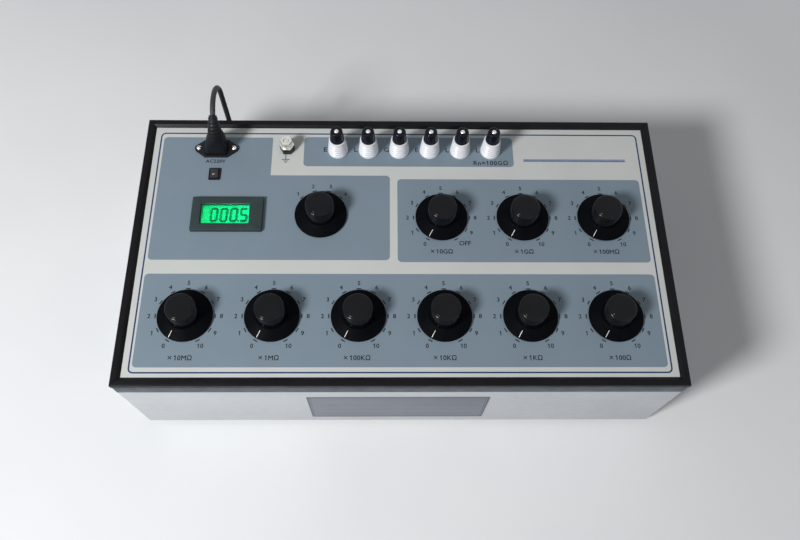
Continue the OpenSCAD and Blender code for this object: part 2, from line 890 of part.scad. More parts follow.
// Display and its board, hung from the bezel through the panel
module meter_module() {
    lcd_w = window_w - 2 * fit_gap;
    lcd_d = window_d - 2 * fit_gap;
    color("limegreen")
        translate([meter_x + window_off, meter_y, panel_top]) {
            translate([-lcd_w / 2, -lcd_d / 2, 0])
                cube([lcd_w, lcd_d, lcd_t]);
            translate([-module_w / 2, -module_d / 2, -panel_t - module_deep])
                cube([module_w, module_d, panel_t + module_deep]);
        }
}

// Outline of the inlet's flange: straight front and back, round ends about the screws
module inlet_outline() {
    end = 55;
    right = arc([inlet_screw_pitch / 2, 0], inlet_end_r, -end, end);
    left = arc([-inlet_screw_pitch / 2, 0], inlet_end_r, 180 - end, 180 + end);
    polygon(concat(
        [[-inlet_edge / 2, -inlet_d / 2], [inlet_edge / 2, -inlet_d / 2]],
        right,
        [[inlet_edge / 2, inlet_d / 2], [-inlet_edge / 2, inlet_d / 2]],
        left
    ));
}

// Six-sided outline of the socket, with its two back corners cut off
module socket_outline(gap) {
    w = socket_w / 2 - gap;
    d = socket_d / 2 - gap;
    corner = 5;
    polygon([[-w, -d], [w, -d], [w, d - corner], [w - corner, d], [corner - w, d], [-w, d - corner]]);
}

module mains_inlet() {
    floor_z = inlet_t - socket_deep;
    color("#1c1c1e")
        translate([inlet_x, inlet_y, panel_top]) {
            difference() {
                union() {
                    linear_extrude(inlet_t)
                        inlet_outline();
                    translate([-inlet_body_w / 2, -inlet_body_d / 2, floor_z - inlet_wall])
                        cube([inlet_body_w, inlet_body_d, socket_deep - inlet_t + inlet_wall + cut]);
                }
                translate([0, 0, floor_z])
                    linear_extrude(socket_deep + cut)
                        socket_outline(0);
                for (x = [-1, 1])
                    translate([x * inlet_screw_pitch / 2, 0, -cut])
                        cylinder(d = inlet_screw_d, h = inlet_t + 2 * cut);
            }
            for (p = inlet_pins)
                translate([p[0] - inlet_pin[0] / 2, p[1] - inlet_pin[1] / 2, floor_z - inlet_wall / 2])
                    cube([inlet_pin[0], inlet_pin[1], inlet_pin_up + inlet_wall / 2]);
        }
}

// Screws with round heads on the flange and nuts under the panel
module inlet_screws() {
    head_d = 6;
    head_h = 2;
    nut_af = 5.5;
    nut_h = 2.4;
    tail = 1.5;
    low = -panel_t - nut_h - tail;
    color("silver")
        for (x = [-1, 1])
            translate([inlet_x + x * inlet_screw_pitch / 2, inlet_y, panel_top]) {
                translate([0, 0, low])
                    cylinder(d = inlet_screw_d, h = inlet_t - low + head_h / 2);
                translate([0, 0, inlet_t])
                    cylinder(d1 = head_d, d2 = head_d * 0.7, h = head_h);
                translate([0, 0, -panel_t - nut_h])
                    cylinder(d = hex_d(nut_af), h = nut_h, $fn = 6);
            }
}

module switch_frame() {
    color("#1c1c1e")
        translate([switch_x, switch_y, panel_top])
            difference() {
                union() {
                    translate([-switch_w / 2, -switch_l / 2, 0])
                        cube([switch_w, switch_l, switch_flange_h]);
                    translate([-switch_body_w / 2, -switch_body_l / 2, -panel_t - switch_deep])
                        cube([switch_body_w, switch_body_l, panel_t + switch_deep + cut]);
                }
                translate([-well_w / 2, -well_l / 2, pivot_up - well_deep])
                    cube([well_w, well_l, well_deep + switch_flange_h + cut]);
                translate([-switch_w / 2 - cut, 0, pivot_up])
                    rotate([0, 90, 0])
                        cylinder(d = rocker_pin_d + 2 * run_gap, h = switch_w + 2 * cut);
            }
}

// Rocker with its back end up, and its two pivot pins
module rocker() {
    dip = 1;
    side_low = 1;
    keel = 3.2;
    pin_reach = rocker_gap + switch_wall / 2;
    pin_l = rocker_w + 2 * pin_reach;
    color("#101012")
        translate([switch_x, switch_y, panel_top + pivot_up])
            rotate([rocker_tilt, 0, 0]) {
                translate([-rocker_w / 2, 0, 0])
                    rotate([90, 0, 90])
                        linear_extrude(rocker_w)
                            polygon([
                                [-rocker_l / 2, -side_low],
                                [-rocker_l / 4, -keel],
                                [rocker_l / 4, -keel],
                                [rocker_l / 2, -side_low],
                                [rocker_l / 2, rocker_up],
                                [0, rocker_up - dip],
                                [-rocker_l / 2, rocker_up]
                            ]);
                translate([-pin_l / 2, 0, 0])
                    rotate([0, 90, 0])
                        cylinder(d = rocker_pin_d, h = pin_l);
            }
}

module terminal_insulators() {
    top_edge = 1;
    color("white")
        for (p = terminals)
            translate([p[0], p[1], panel_top])
                rotate_extrude()
                    polygon([
                        [stud_d / 2, -panel_t],
                        [spigot_d / 2, -panel_t],
                        [spigot_d / 2, 0],
                        [insulator_base_d / 2, 0],
                        [insulator_base_d / 2, insulator_foot_h],
                        [insulator_top_d / 2, insulator_h - top_edge],
                        [insulator_top_d / 2 - top_edge / 2, insulator_h],
                        [stud_d / 2, insulator_h]
                    ]);
}

// Studs with a chamfered end, and an insulating washer and a nut under the panel
module terminal_studs() {
    tip = 0.5;
    seat_d = 18;
    seat_t = 2;
    nut_af = 8;
    nut_h = 4;
    low = panel_bottom - stud_deep;
    tip_z = cap_top + stud_over - tip;
    color("gainsboro")
        for (p = terminals)
            translate([p[0], p[1], 0]) {
                translate([0, 0, low])
                    cylinder(d = stud_d, h = tip_z - low);
                translate([0, 0, tip_z])
                    cylinder(d1 = stud_d, d2 = stud_d - 2 * tip, h = tip);
                translate([0, 0, panel_bottom - seat_t])
                    cylinder(d = seat_d, h = seat_t);
                translate([0, 0, panel_bottom - seat_t - nut_h])
                    cylinder(d = hex_d(nut_af), h = nut_h, $fn = 6);
            }
}

module terminal_washer(p) {
    color("lightgray")
        translate([p[0], p[1], insulator_top])
            difference() {
                cylinder(d = washer_d, h = washer_t);
                translate([0, 0, -cut])
                    cylinder(d = stud_d + 2 * run_gap, h = washer_t + 2 * cut);
            }
}

// Screw cap that sits on its washer, with its rim just clear of the insulator
module terminal_cap(p) {
    recess_gap = 0.3;
    bore_r = stud_d / 2 + run_gap;
    recess_r = washer_d / 2 + recess_gap;
    rim_edge = 0.6;
    color("#161616")
        translate([p[0], p[1], insulator_top])
            rotate_extrude()
                polygon(concat(
                    [
                        [bore_r, washer_t],
                        [recess_r, washer_t],
                        [recess_r, cap_rim_gap],
                        [cap_d / 2 - rim_edge, cap_rim_gap],
                        [cap_d / 2, cap_rim_gap + rim_edge]
                    ],
                    arc([cap_top_d / 2 - cap_edge_r, cap_h - cap_edge_r], cap_edge_r, 0, 90),
                    [[bore_r, cap_h]]
                ));
}

// Hexagon base and stud in one piece, with a nut under the panel
module earth_post() {
    tip = 0.6;
    nut_h = 5;
    tail = 8;
    low = -panel_t - nut_h - tail;
    color("silver")
        translate([earth_x, earth_y, panel_top]) {
            cylinder(d = hex_d(earth_base_af), h = earth_base_h, $fn = 6);
            translate([0, 0, low])
                cylinder(d = earth_stud_d, h = earth_stud_up - tip - low);
            translate([0, 0, earth_stud_up - tip])
                cylinder(d1 = earth_stud_d, d2 = earth_stud_d - 2 * tip, h = tip);
            translate([0, 0, -panel_t - nut_h])
                cylinder(d = hex_d(earth_nut_af), h = nut_h, $fn = 6);
        }
}

module earth_washer() {
    color("silver")
        translate([earth_x, earth_y, earth_washer_z])
            difference() {
                cylinder(d = earth_washer_d, h = washer_t);
                translate([0, 0, -cut])
                    cylinder(d = earth_stud_d + 2 * run_gap, h = washer_t + 2 * cut);
            }
}

module earth_nut() {
    color("silver")
        translate([earth_x, earth_y, earth_nut_z])
            difference() {
                cylinder(d = hex_d(earth_nut_af), h = earth_nut_h, $fn = 6);
                translate([0, 0, -cut])
                    cylinder(d = earth_stud_d + 2 * run_gap, h = earth_nut_h + 2 * cut);
            }
}

// Connector: a nose in the socket, a tapered body and a bent strain relief
module line_connector() {
    foot_corner = 3;
    foot_top = connector_h * 0.2;
    waist_z = connector_h * 0.55;
    waist_lean = boot_lean * 0.35;
    waist_corner = 4.4;
    waist_w = connector_w * 0.95;
    waist_d = connector_d * 0.98;
    low = inlet_t + connector_gap;
    nose_low = inlet_t - socket_deep + connector_gap;
    slice = 0.2;
    color("#151515") {
        translate([inlet_x, inlet_y, panel_top]) {
            difference() {
                translate([0, 0, nose_low])
                    linear_extrude(low - nose_low + slice)
                        socket_outline(connector_gap);
                for (p = inlet_pins)
                    translate([
                        p[0] - inlet_pin[0] / 2 - pin_gap,
                        p[1] - inlet_pin[1] / 2 - pin_gap,
                        nose_low - cut
                    ])
                        cube([
                            inlet_pin[0] + 2 * pin_gap,
                            inlet_pin[1] + 2 * pin_gap,
                            inlet_pin_up + pin_gap + cut
                        ]);
            }
            hull() {
                translate([0, 0, low])
                    linear_extrude(foot_top - low)
                        round_rect(connector_w, connector_d, foot_corner, $fn = 32);
                translate([waist_lean, 0, waist_z])
                    linear_extrude(slice)
                        round_rect(waist_w, waist_d, waist_corner, $fn = 32);
                translate([boot_lean, 0, connector_h - slice])
                    cylinder(d = boot_base_d, h = slice, $fn = 32);
            }
        }
        tube(boot_path, boot_radii, [1, 0, 0], boot_sides);
    }
}

module mains_cord() {
    color("#202020")
        tube(cord_path, [for (p = cord_path) cord_d / 2], cord_ref, cord_sides);
}

module cord_coil() {
    color("#202020")
        tube(coil_path, [for (p = coil_path) cord_d / 2], [0, 0, 1], coil_sides);
}

// A flat band round all the turns on the coil's left side
module cord_tie() {
    inner_r = coil_in_r + coil_step * climb - cord_d / 2 - tie_side_gap;
    outer_r = coil_in_r + coil_step * (coil_turns - climb) + cord_d / 2 + tie_side_gap;
    low = cord_floor_z - cord_d / 2 - tie_gap;
    high = coil_top_z + cord_d / 2 + tie_gap;
    color("black")
        translate([coil_centre[0], coil_centre[1] - tie_w / 2, 0])
            difference() {
                translate([-outer_r - tie_t, 0, low - tie_t])
                    cube([outer_r - inner_r + 2 * tie_t, tie_w, high - low + 2 * tie_t]);
                translate([-outer_r, -cut, low])
                    cube([outer_r - inner_r, tie_w + 2 * cut, high - low]);
            }
}

// Plug that lies on the floor at the end of the coil's tail
module mains_plug() {
    relief_l = 14;
    relief_d = 11;
    edge = 4;
    blade = [17, 1.6, 6.3];
    line_y = 7;
    line_z = 3;
    line_turn = 30;
    earth_z = -8;
    tail_end = coil_path[len(coil_path) - 1];
    color("#181818")
        translate(tail_end)
            rotate(atan2(tail_dir[1], tail_dir[0])) {
                rotate([0, 90, 0])
                    cylinder(d1 = boot_end_d, d2 = relief_d, h = relief_l + cut);
                translate([relief_l, 0, 0])
                    rotate([90, 0, 90])
                        linear_extrude(plug_l)
                            round_rect(plug_w, plug_h, edge);
                for (y = [-1, 1])
                    translate([relief_l + plug_l - cut, y * line_y, line_z])
                        rotate([y * line_turn, 0, 0])
                            translate([0, -blade[1] / 2, -blade[2] / 2])
                                cube([blade[0] + cut, blade[1], blade[2]]);
                translate([relief_l + plug_l - cut, -blade[1] / 2, earth_z - blade[2] / 2])
                    cube([blade[0] + cut, blade[1], blade[2]]);
            }
}

case_walls();
base_plate();
rubber_feet();
long_frame_rails();
short_frame_rails();
panel_plate();
name_plate();
meter_bezel();
meter_window();
meter_module();
mains_inlet();
inlet_screws();
switch_frame();
rocker();
terminal_insulators();
terminal_studs();
earth_post();
earth_washer();
earth_nut();
switch_bodies();
bushing_nuts();
resistor_boards();
power_board();
for (i = [0:len(dials) - 1]) {
    dial_knob(dials[i], dial_zero);
    dial_shaft(dials[i], dial_zero);
}
dial_knob(selector, selector_rest);  // selector_knob
dial_shaft(selector, selector_rest);  // selector_shaft
for (i = [0:len(terminals) - 1]) {
    terminal_washer(terminals[i]);
    terminal_cap(terminals[i]);
}
line_connector();
mains_cord();
cord_coil();
cord_tie();
mains_plug();
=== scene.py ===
"""Insulation tester calibrator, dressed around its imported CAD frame.

Metres, +Z up, the front towards -Y. Sizes are written in millimetres and turned into metres by MM.
"""
import math

import bmesh
import bpy
from mathutils import Matrix, Vector


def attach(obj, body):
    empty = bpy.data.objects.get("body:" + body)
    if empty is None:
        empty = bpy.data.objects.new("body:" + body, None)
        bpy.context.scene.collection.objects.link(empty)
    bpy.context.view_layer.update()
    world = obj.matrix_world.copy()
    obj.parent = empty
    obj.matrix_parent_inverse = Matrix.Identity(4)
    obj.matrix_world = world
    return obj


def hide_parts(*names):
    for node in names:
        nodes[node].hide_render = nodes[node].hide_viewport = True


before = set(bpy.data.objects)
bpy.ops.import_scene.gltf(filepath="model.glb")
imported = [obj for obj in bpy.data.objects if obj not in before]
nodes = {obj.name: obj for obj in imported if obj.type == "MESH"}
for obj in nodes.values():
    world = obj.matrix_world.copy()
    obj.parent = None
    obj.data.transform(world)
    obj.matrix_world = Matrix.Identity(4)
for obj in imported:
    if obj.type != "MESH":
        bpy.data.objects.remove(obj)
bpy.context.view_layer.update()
scene = bpy.context.scene

MM = 0.001
PANEL = 153.0
FRAME_TOP = 156.0


def placed(name, data):
    """New object in the scene."""
    made = bpy.data.objects.new(name, data)
    scene.collection.objects.link(made)
    return made


# Camera, at the photograph's place and angle

def aim_camera():
    """Camera fitted to the corners of the frame: 65.6 degrees down, a little to the right."""
    focal_px = 768.93
    image_w = 800
    pitch = math.radians(65.5825)
    yaw = math.radians(2.7027)
    roll = math.radians(-2.5593)
    place = Vector((-17.495, -374.013, FRAME_TOP + 752.876)) * MM
    turn = Matrix.Rotation(-yaw, 4, "Z") @ Matrix.Rotation(math.pi / 2 - pitch, 4, "X")
    turn @= Matrix.Rotation(-roll, 4, "Z")
    lens = bpy.data.cameras.new("photo_view")
    lens.sensor_fit = "HORIZONTAL"
    lens.sensor_width = 36.0
    lens.lens = focal_px / image_w * lens.sensor_width
    scene.camera = placed("photo_view", lens)
    scene.camera.matrix_world = Matrix.Translation(place) @ turn


aim_camera()


# Finishes

def srgb(red, green, blue):
    """Linear colour from screen values, 0 to 255."""
    def linear(value):
        value /= 255
        return value / 12.92 if value <= 0.04045 else ((value + 0.055) / 1.055) ** 2.4
    return (linear(red), linear(green), linear(blue), 1.0)


def feed(socket, value):
    """Sets an input to a value, or links it to another node's output."""
    if isinstance(value, bpy.types.NodeSocket):
        socket.id_data.links.new(value, socket)
    else:
        socket.default_value = value


def fill(node, **values):
    """Feeds a node's inputs by name, with an underscore for each space."""
    for key, value in values.items():
        feed(node.inputs[key.replace("_", " ")], value)
    return node


def feed_all(node, values):
    """Feeds a node's inputs by their numbers."""
    for index, value in values.items():
        feed(node.inputs[index], value)
    return node.outputs[0]


class Finish:
    """A material whose colour, roughness and relief come from a few node chains on Object coordinates."""

    def __init__(self, name, roughness=0.5, metallic=0.0, specular=0.5, coat=0.0, coat_roughness=0.1):
        self.material = bpy.data.materials.new(name)
        self.material.use_nodes = True
        self.tree = self.material.node_tree
        self.shader = self.tree.nodes["Principled BSDF"]
        fill(self.shader, Roughness=roughness, Metallic=metallic, Specular_IOR_Level=specular,
             Coat_Weight=coat, Coat_Roughness=coat_roughness)
        self.place = self.node("ShaderNodeTexCoord").outputs["Object"]

    def node(self, kind, **values):
        return fill(self.tree.nodes.new(kind), **values)

    def noise(self, size_mm, detail=3.0, stretch=None):
        """Noise with patches of about the given size, on coordinates that may be scaled."""
        place = self.place
        if stretch:
            place = self.node("ShaderNodeMapping", Scale=stretch, Vector=place).outputs["Vector"]
        texture = self.node("ShaderNodeTexNoise", Vector=place, Scale=1 / (size_mm * MM), Detail=detail,
                            Roughness=0.55)
        return texture.outputs["Fac"]

    def between(self, factor, low, high, start=0.35, end=0.65):
        """A colour that runs from low to high as the factor goes from start to end."""
        ramp = self.node("ShaderNodeValToRGB", Fac=factor)
        for stop, place, colour in zip(ramp.color_ramp.elements, (start, end), (low, high)):
            stop.position = place
            stop.color = colour
        return ramp.outputs["Color"]

    def colour(self, source):
        fill(self.shader, Base_Color=source)

    def rough(self, factor, low, high):
        """Roughness that follows a factor."""
        spread = self.node("ShaderNodeMapRange", From_Min=0.3, From_Max=0.7, To_Min=low, To_Max=high)
        fill(spread, Value=factor)
        fill(self.shader, Roughness=spread.outputs["Result"])

    def bump(self, factor, depth_mm, strength):
        """Relief of the given depth."""
        made = self.node("ShaderNodeBump", Strength=strength, Distance=depth_mm * MM, Height=factor)
        fill(self.shader, Normal=made.outputs["Normal"])

    def along(self, axis, start, end):
        """A value that runs from 0 to 1 between two places on an axis."""
        split = self.node("ShaderNodeSeparateXYZ", Vector=self.place)
        run = self.node("ShaderNodeMapRange", Value=split.outputs[axis], From_Min=start, From_Max=end)
        return run.outputs["Result"]

    def mix(self, factor, low, high):
        """A colour between two other colours or colour sockets."""
        blend = self.node("ShaderNodeMix")
        blend.data_type = "RGBA"
        feed_all(blend, {0: factor, 6: low, 7: high})
        return blend.outputs[2]

    def glow(self, source, strength):
        """A colour that also gives light."""
        fill(self.shader, Base_Color=source, Emission_Color=source, Emission_Strength=strength)


def shade(colour, share):
    return tuple(c * share for c in colour[:3]) + (1.0,)


def powder_coat(name, colour):
    """Baked paint with a fine orange-peel skin and a little grime."""
    made = Finish(name, specular=0.4)
    made.colour(made.between(made.noise(70, 4), shade(colour, 0.93), colour))
    made.rough(made.noise(9), 0.42, 0.56)
    made.bump(made.noise(1.1, 2), 0.05, 0.35)
    return made.material


def printed_metal(name, colour):
    """Screen-printed sheet: even ink with a faint grain."""
    made = Finish(name, specular=0.35)
    cloudy = made.between(made.noise(45, 4), shade(colour, 0.95), shade(colour, 1.03))
    speckle = made.between(made.noise(0.5, 2), shade(colour, 0.92), shade(colour, 1.06), 0.3, 0.7)
    made.colour(made.mix(made.noise(3.0), cloudy, speckle))
    made.rough(made.noise(14), 0.4, 0.52)
    made.bump(made.noise(0.6, 2), 0.012, 0.3)
    return made.material


def ink(name, colour):
    made = Finish(name, specular=0.3)
    made.colour(made.between(made.noise(2.0), shade(colour, 0.85), shade(colour, 1.1)))
    made.rough(made.noise(5), 0.4, 0.55)
    return made.material


def moulded(name, colour, low, high, grain_mm=0.5, depth_mm=0.02, coat=0.0, specular=0.5, cloud=0.2):
    """Moulded plastic: a fine grain, and handling marks that change the gloss."""
    made = Finish(name, specular=specular, coat=coat, coat_roughness=0.08)
    made.colour(made.between(made.noise(12, 4), shade(colour, 1 - cloud), shade(colour, 1 + cloud)))
    made.rough(made.noise(6, 5), low, high)
    made.bump(made.noise(grain_mm, 2), depth_mm, 0.3)
    return made.material


def plated(name, colour, low, high, stretch=(1, 1, 1)):
    """Bright plated metal with fine tool marks."""
    made = Finish(name, metallic=1.0)
    made.colour(made.between(made.noise(4, 4), shade(colour, 0.85), colour))
    made.rough(made.noise(0.8, 4, stretch), low, high)
    made.bump(made.noise(0.5, 3, stretch), 0.01, 0.25)
    return made.material


def frame_finish():
    """Satin black moulding, with a lighter grey leg under the nose."""
    black = srgb(9, 9, 12)
    grey = srgb(65, 75, 86)
    nose_low = (FRAME_TOP - 7.3) * MM
    made = Finish("frame_satin_black", specular=0.14)
    above = made.along("Z", nose_low - 0.2 * MM, nose_low + 0.2 * MM)
    worn = made.noise(25, 5)
    dark = made.between(worn, shade(black, 0.8), shade(black, 1.25))
    leg = made.between(worn, shade(grey, 0.9), shade(grey, 1.05))
    made.colour(made.mix(above, leg, dark))
    made.rough(made.noise(18, 4), 0.3, 0.46)
    made.bump(made.noise(0.35, 2), 0.01, 0.25)
    return made.material


def brushed_plate(name, colour):
    made = Finish(name, metallic=0.35)
    streaks = made.noise(0.6, 4, (0.02, 1, 1))
    made.colour(made.between(streaks, shade(colour, 0.92), shade(colour, 1.04)))
    made.rough(streaks, 0.42, 0.58)
    made.bump(streaks, 0.01, 0.3)
    return made.material


def lit_green():
    """Backlit display: brighter towards the lamp at its right end, darker at its left and back edges."""
    made = Finish("display_lit_green", roughness=0.35, specular=0.05)
    glow = made.mix(made.along("X", -0.222, -0.168), srgb(4, 198, 110), srgb(8, 228, 150))
    for axis, start, end in (("X", -0.2216, -0.2185), ("Y", 0.0477, 0.0455)):
        glow = made.mix(made.along(axis, start, end), srgb(0, 92, 48), glow)
    made.glow(glow, 0.37)
    return made.material


def lit_digits():
    """Darker figures that let a little of the light through."""
    made = Finish("digit_dark_green", roughness=0.45, specular=0.05)
    made.glow(made.between(made.noise(2.0), srgb(0, 122, 58), srgb(2, 134, 66)), 0.3)
    return made.material


def clear_window():
    made = Finish("window_clear_plastic", specular=0.05)
    fill(made.shader, Base_Color=(0.97, 1.0, 0.98, 1.0), Transmission_Weight=1.0, IOR=1.15)
    made.rough(made.noise(8, 5), 0.0, 0.05)
    return made.material


WHITE_COAT = powder_coat("case_white_coat", srgb(194, 198, 202))
BASE_COAT = powder_coat("base_grey_coat", srgb(196, 198, 200))
PANEL_PAINT = printed_metal("panel_light_grey", srgb(196, 199, 196))
FIELD_INK = printed_metal("field_slate_ink", srgb(119, 135, 147))
BLACK_INK = ink("lettering_black_ink", srgb(14, 17, 25))
NAVY_INK = ink("border_navy_ink", srgb(16, 46, 94))
BAR_INK = ink("title_bar_ink", srgb(108, 120, 150))
PALE_BAR_INK = ink("title_bar_pale_ink", srgb(136, 147, 174))
WHITE_INK = ink("pointer_white_ink", srgb(238, 238, 232))
FRAME_BLACK = frame_finish()
SKIRT_BLACK = moulded("knob_skirt_black", srgb(8, 9, 12), 0.46, 0.58, 0.8, 0.006, specular=0.02)
GRIP_BLACK = moulded("knob_grip_black", srgb(8, 9, 12), 0.07, 0.19, 0.8, 0.006, specular=0.18)
CAP_BLACK = moulded("cap_gloss_black", srgb(9, 9, 24), 0.08, 0.18, 0.8, 0.008, 0.1, 0.12)
# Painted shade: black for the sides of the earth post's nickel hexagon base, where they lie in shade.
EARTH_PAINTED_SHADE = moulded("earth_base_painted_shade", srgb(17, 19, 30), 0.2, 0.34, 0.8, 0.01, specular=0.3)
INSULATOR_WHITE = moulded("insulator_gloss_white", srgb(232, 233, 238), 0.18, 0.3, 1.0, 0.01, 0.2,
                          cloud=0.02)
BEZEL_GREY = moulded("bezel_dark_grey", srgb(46, 58, 59), 0.45, 0.62, 0.4, 0.03, specular=0.2, cloud=0.1)
# Black of the meter module; the same black is painted shade in the screws' cross recesses.
MODULE_AND_SHADE_BLACK = moulded("module_and_recess_shade_black", srgb(28, 30, 30), 0.5, 0.65)
INLET_BLACK = moulded("inlet_black", srgb(15, 16, 21), 0.38, 0.52, 0.35, 0.03, specular=0.22)
ROCKER_BLACK = moulded("rocker_black", srgb(22, 24, 28), 0.28, 0.4)
LEAD_BLACK = moulded("lead_black", srgb(30, 31, 34), 0.45, 0.6, 0.6, 0.04)
TIE_BLACK = moulded("tie_black", srgb(34, 34, 36), 0.5, 0.65, 0.5, 0.04)
FOOT_RUBBER = moulded("foot_rubber", srgb(38, 38, 38), 0.7, 0.85, 0.8, 0.06)
NICKEL = plated("bright_nickel", srgb(232, 230, 224), 0.16, 0.32)
BRASS = plated("turned_brass", srgb(205, 170, 96), 0.2, 0.34, (1, 1, 6))
PLATE_SILVER = brushed_plate("plate_brushed_silver", srgb(122, 128, 138))
PLATE_LINE = ink("plate_dark_line", srgb(64, 70, 82))
WAFER_BROWN = moulded("wafer_brown_laminate", srgb(150, 106, 62), 0.45, 0.6, 0.3, 0.03)
BOARD_GREEN = moulded("board_green_laminate", srgb(38, 104, 62), 0.35, 0.5, 0.5, 0.02)
DISPLAY_GREEN = lit_green()
DIGIT_GREEN = lit_digits()
WINDOW_CLEAR = clear_window()


# Shaping

def heading(degrees):
    """Direction on the level, from +X towards +Y."""
    return Vector((math.cos(math.radians(degrees)), math.sin(math.radians(degrees))))


def rounded(corners, closed=False, steps=5):
    """Points along corners given as (x, y, radius), with each corner turned into an arc."""
    points = []
    count = len(corners)
    for i, (x, y, radius) in enumerate(corners):
        inner = closed or 0 < i < count - 1
        if radius <= 0 or not inner:
            points.append((x, y))
            continue
        here = Vector((x, y))
        before = (Vector(corners[i - 1][:2]) - here).normalized()
        after = (Vector(corners[(i + 1) % count][:2]) - here).normalized()
        half = before.angle(after) / 2
        middle = here + (before + after).normalized() * (radius / math.sin(half))
        arm = here + before * (radius / math.tan(half)) - middle
        last = here + after * (radius / math.tan(half)) - middle
        sweep = math.atan2(arm.x * last.y - arm.y * last.x, arm.dot(last))
        turns = [Matrix.Rotation(sweep * k / steps, 2) for k in range(steps + 1)]
        points += [tuple(middle + turn @ arm) for turn in turns]
    return points


def moved(bm, place):
    """Shifts a shape by a place in millimetres."""
    bmesh.ops.translate(bm, verts=bm.verts, vec=Vector(place) * MM)
    return bm


def swung(bm, degrees, axis):
    """Turns a shape about an axis through the origin."""
    turn = Matrix.Rotation(math.radians(degrees), 3, axis)
    bmesh.ops.rotate(bm, verts=bm.verts, cent=(0, 0, 0), matrix=turn)
    return bm


def faced(bm):
    """Turns all the faces outwards."""
    bmesh.ops.recalc_face_normals(bm, faces=bm.faces)
    return bm


def drawn_out(bm, reach):
    """Extrudes all the faces by a reach in millimetres, into a closed solid."""
    made = bmesh.ops.extrude_face_region(bm, geom=bm.faces[:])
    far = [v for v in made["geom"] if isinstance(v, bmesh.types.BMVert)]
    bmesh.ops.translate(bm, verts=far, vec=Vector(reach) * MM)
    return faced(bm)


def skinned(rings):
    """Skin between neighbouring rings of points in metres."""
    bm = bmesh.new()
    loops = []
    for ring in rings:
        verts = [bm.verts.new(p) for p in ring]
        loops.append([bm.edges.new((verts[i - 1], verts[i])) for i in range(len(verts))])
    for one, two in zip(loops, loops[1:]):
        bmesh.ops.bridge_loops(bm, edges=one + two)
    return bm


def turned(profile, centre, steps):
    """Solid of revolution about a vertical axis; profile holds (radius, height) points."""
    bm = bmesh.new()
    verts = [bm.verts.new((r * MM, 0, z * MM)) for r, z in profile]
    edges = [bm.edges.new(pair) for pair in zip(verts, verts[1:])]
    bmesh.ops.spin(bm, geom=verts + edges, cent=(0, 0, 0), axis=(0, 0, 1), angle=2 * math.pi,
                   steps=steps, use_merge=True)
    bmesh.ops.remove_doubles(bm, verts=bm.verts, dist=1e-6)
    return moved(faced(bm), centre)


def flat_face(outline, height):
    bm = bmesh.new()
    bm.faces.new([bm.verts.new((x * MM, y * MM, height * MM)) for x, y in outline])
    bm.normal_update()
    return bm


def flat_ring(outer, inner, height):
    """Flat face between two outlines with the same number of points."""
    bm = skinned([[(x * MM, y * MM, height * MM) for x, y in outline] for outline in (outer, inner)])
    bm.normal_update()
    return bm


def open_hole(bm, x, y, w, d):
    """Cuts a rectangular hole in flat faces."""
    for axis, middle, size in (((1, 0, 0), x, w), ((0, 1, 0), y, d)):
        for place in (middle - size / 2, middle + size / 2):
            bmesh.ops.bisect_plane(bm, geom=bm.verts[:] + bm.edges[:] + bm.faces[:],
                                   plane_co=Vector(axis) * place * MM, plane_no=axis)
    inside = [
        f for f in bm.faces
        if abs(f.calc_center_median().x - x * MM) < w / 2 * MM
        and abs(f.calc_center_median().y - y * MM) < d / 2 * MM
    ]
    bmesh.ops.delete(bm, geom=inside, context="FACES")


def raised(bm, rise):
    """Thickens flat faces upwards into a closed plate."""
    return drawn_out(bm, (0, 0, rise))


def outlined(outline, width, low, rise):
    """Raised line of the given width, just inside an outline."""
    bm = flat_face(outline, low)
    rim = bmesh.ops.inset_region(bm, faces=bm.faces[:], thickness=width * MM, use_even_offset=True,
                                 use_boundary=True)
    inner = [f for f in bm.faces if f not in rim["faces"]]
    bmesh.ops.delete(bm, geom=inner, context="FACES")
    return raised(bm, rise)


def plate(outline, low, high):
    return raised(flat_face(outline, low), high - low)


def holed(outline, place, hole, low, high):
    """Plate with a rectangular hole."""
    bm = flat_face(outline, low)
    open_hole(bm, *place, *hole)
    return raised(bm, high - low)


def is_sharp(edge):
    return len(edge.link_faces) == 2 and edge.calc_face_angle() > math.radians(25)


def soften(bm, offset, keep=is_sharp, segments=2):
    """Bevels the edges that a test picks."""
    picked = [e for e in bm.edges if keep(e)]
    bmesh.ops.bevel(bm, geom=picked, offset=offset * MM, offset_type="OFFSET", segments=segments,
                    profile=0.5, affect="EDGES", material=-1, clamp_overlap=True)
    return bm


def at_height(z):
    """Test for sharp edges that lie at one height."""
    return lambda e: is_sharp(e) and all(abs(v.co.z - z * MM) < 1e-6 for v in e.verts)


def rectangle(x, y, w, d, radius=0.0, steps=5):
    signs = ((-1, -1), (1, -1), (1, 1), (-1, 1))
    return rounded([(x + sx * w / 2, y + sy * d / 2, radius) for sx, sy in signs], True, steps)


def hexagon(x, y, flats, per_side=1):
    """Hexagon, with the given number of points along each side."""
    reach = flats / 2 / math.cos(math.radians(30))
    corners = [Vector((x, y)) + heading(a) * reach for a in range(0, 360, 60)]
    points = []
    for one, two in zip(corners, corners[1:] + corners[:1]):
        points += [one.lerp(two, k / per_side) for k in range(per_side)]
    return points


def lofted(rings):
    """Skin over rings of points in metres, closed at both ends."""
    bm = skinned(rings)
    bmesh.ops.edgeloop_fill(bm, edges=[e for e in bm.edges if e.is_boundary])
    return faced(bm)


def gather(parts):
    """One mesh from several."""
    whole = bmesh.new()
    for part in parts:
        spare = bpy.data.meshes.new("spare")
        part.to_mesh(spare)
        part.free()
        whole.from_mesh(spare)
        bpy.data.meshes.remove(spare)
    return whole


def shown(name, bm, material):
    """Object from a finished shape."""
    mesh = bpy.data.meshes.new(name)
    bm.to_mesh(mesh)
    bm.free()
    mesh.materials.append(material)
    return placed(name, mesh)


def piece(name, bm, material, body="housing", crease=35.0, node=None):
    """Finished piece: mesh, material, body, and the CAD node it stands for, which is hidden."""
    made = shown(name, bm, material)
    made.data.shade_smooth()
    made.data.set_sharp_from_angle(angle=math.radians(crease))
    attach(made, body)
    if node:
        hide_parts(node)
    return made


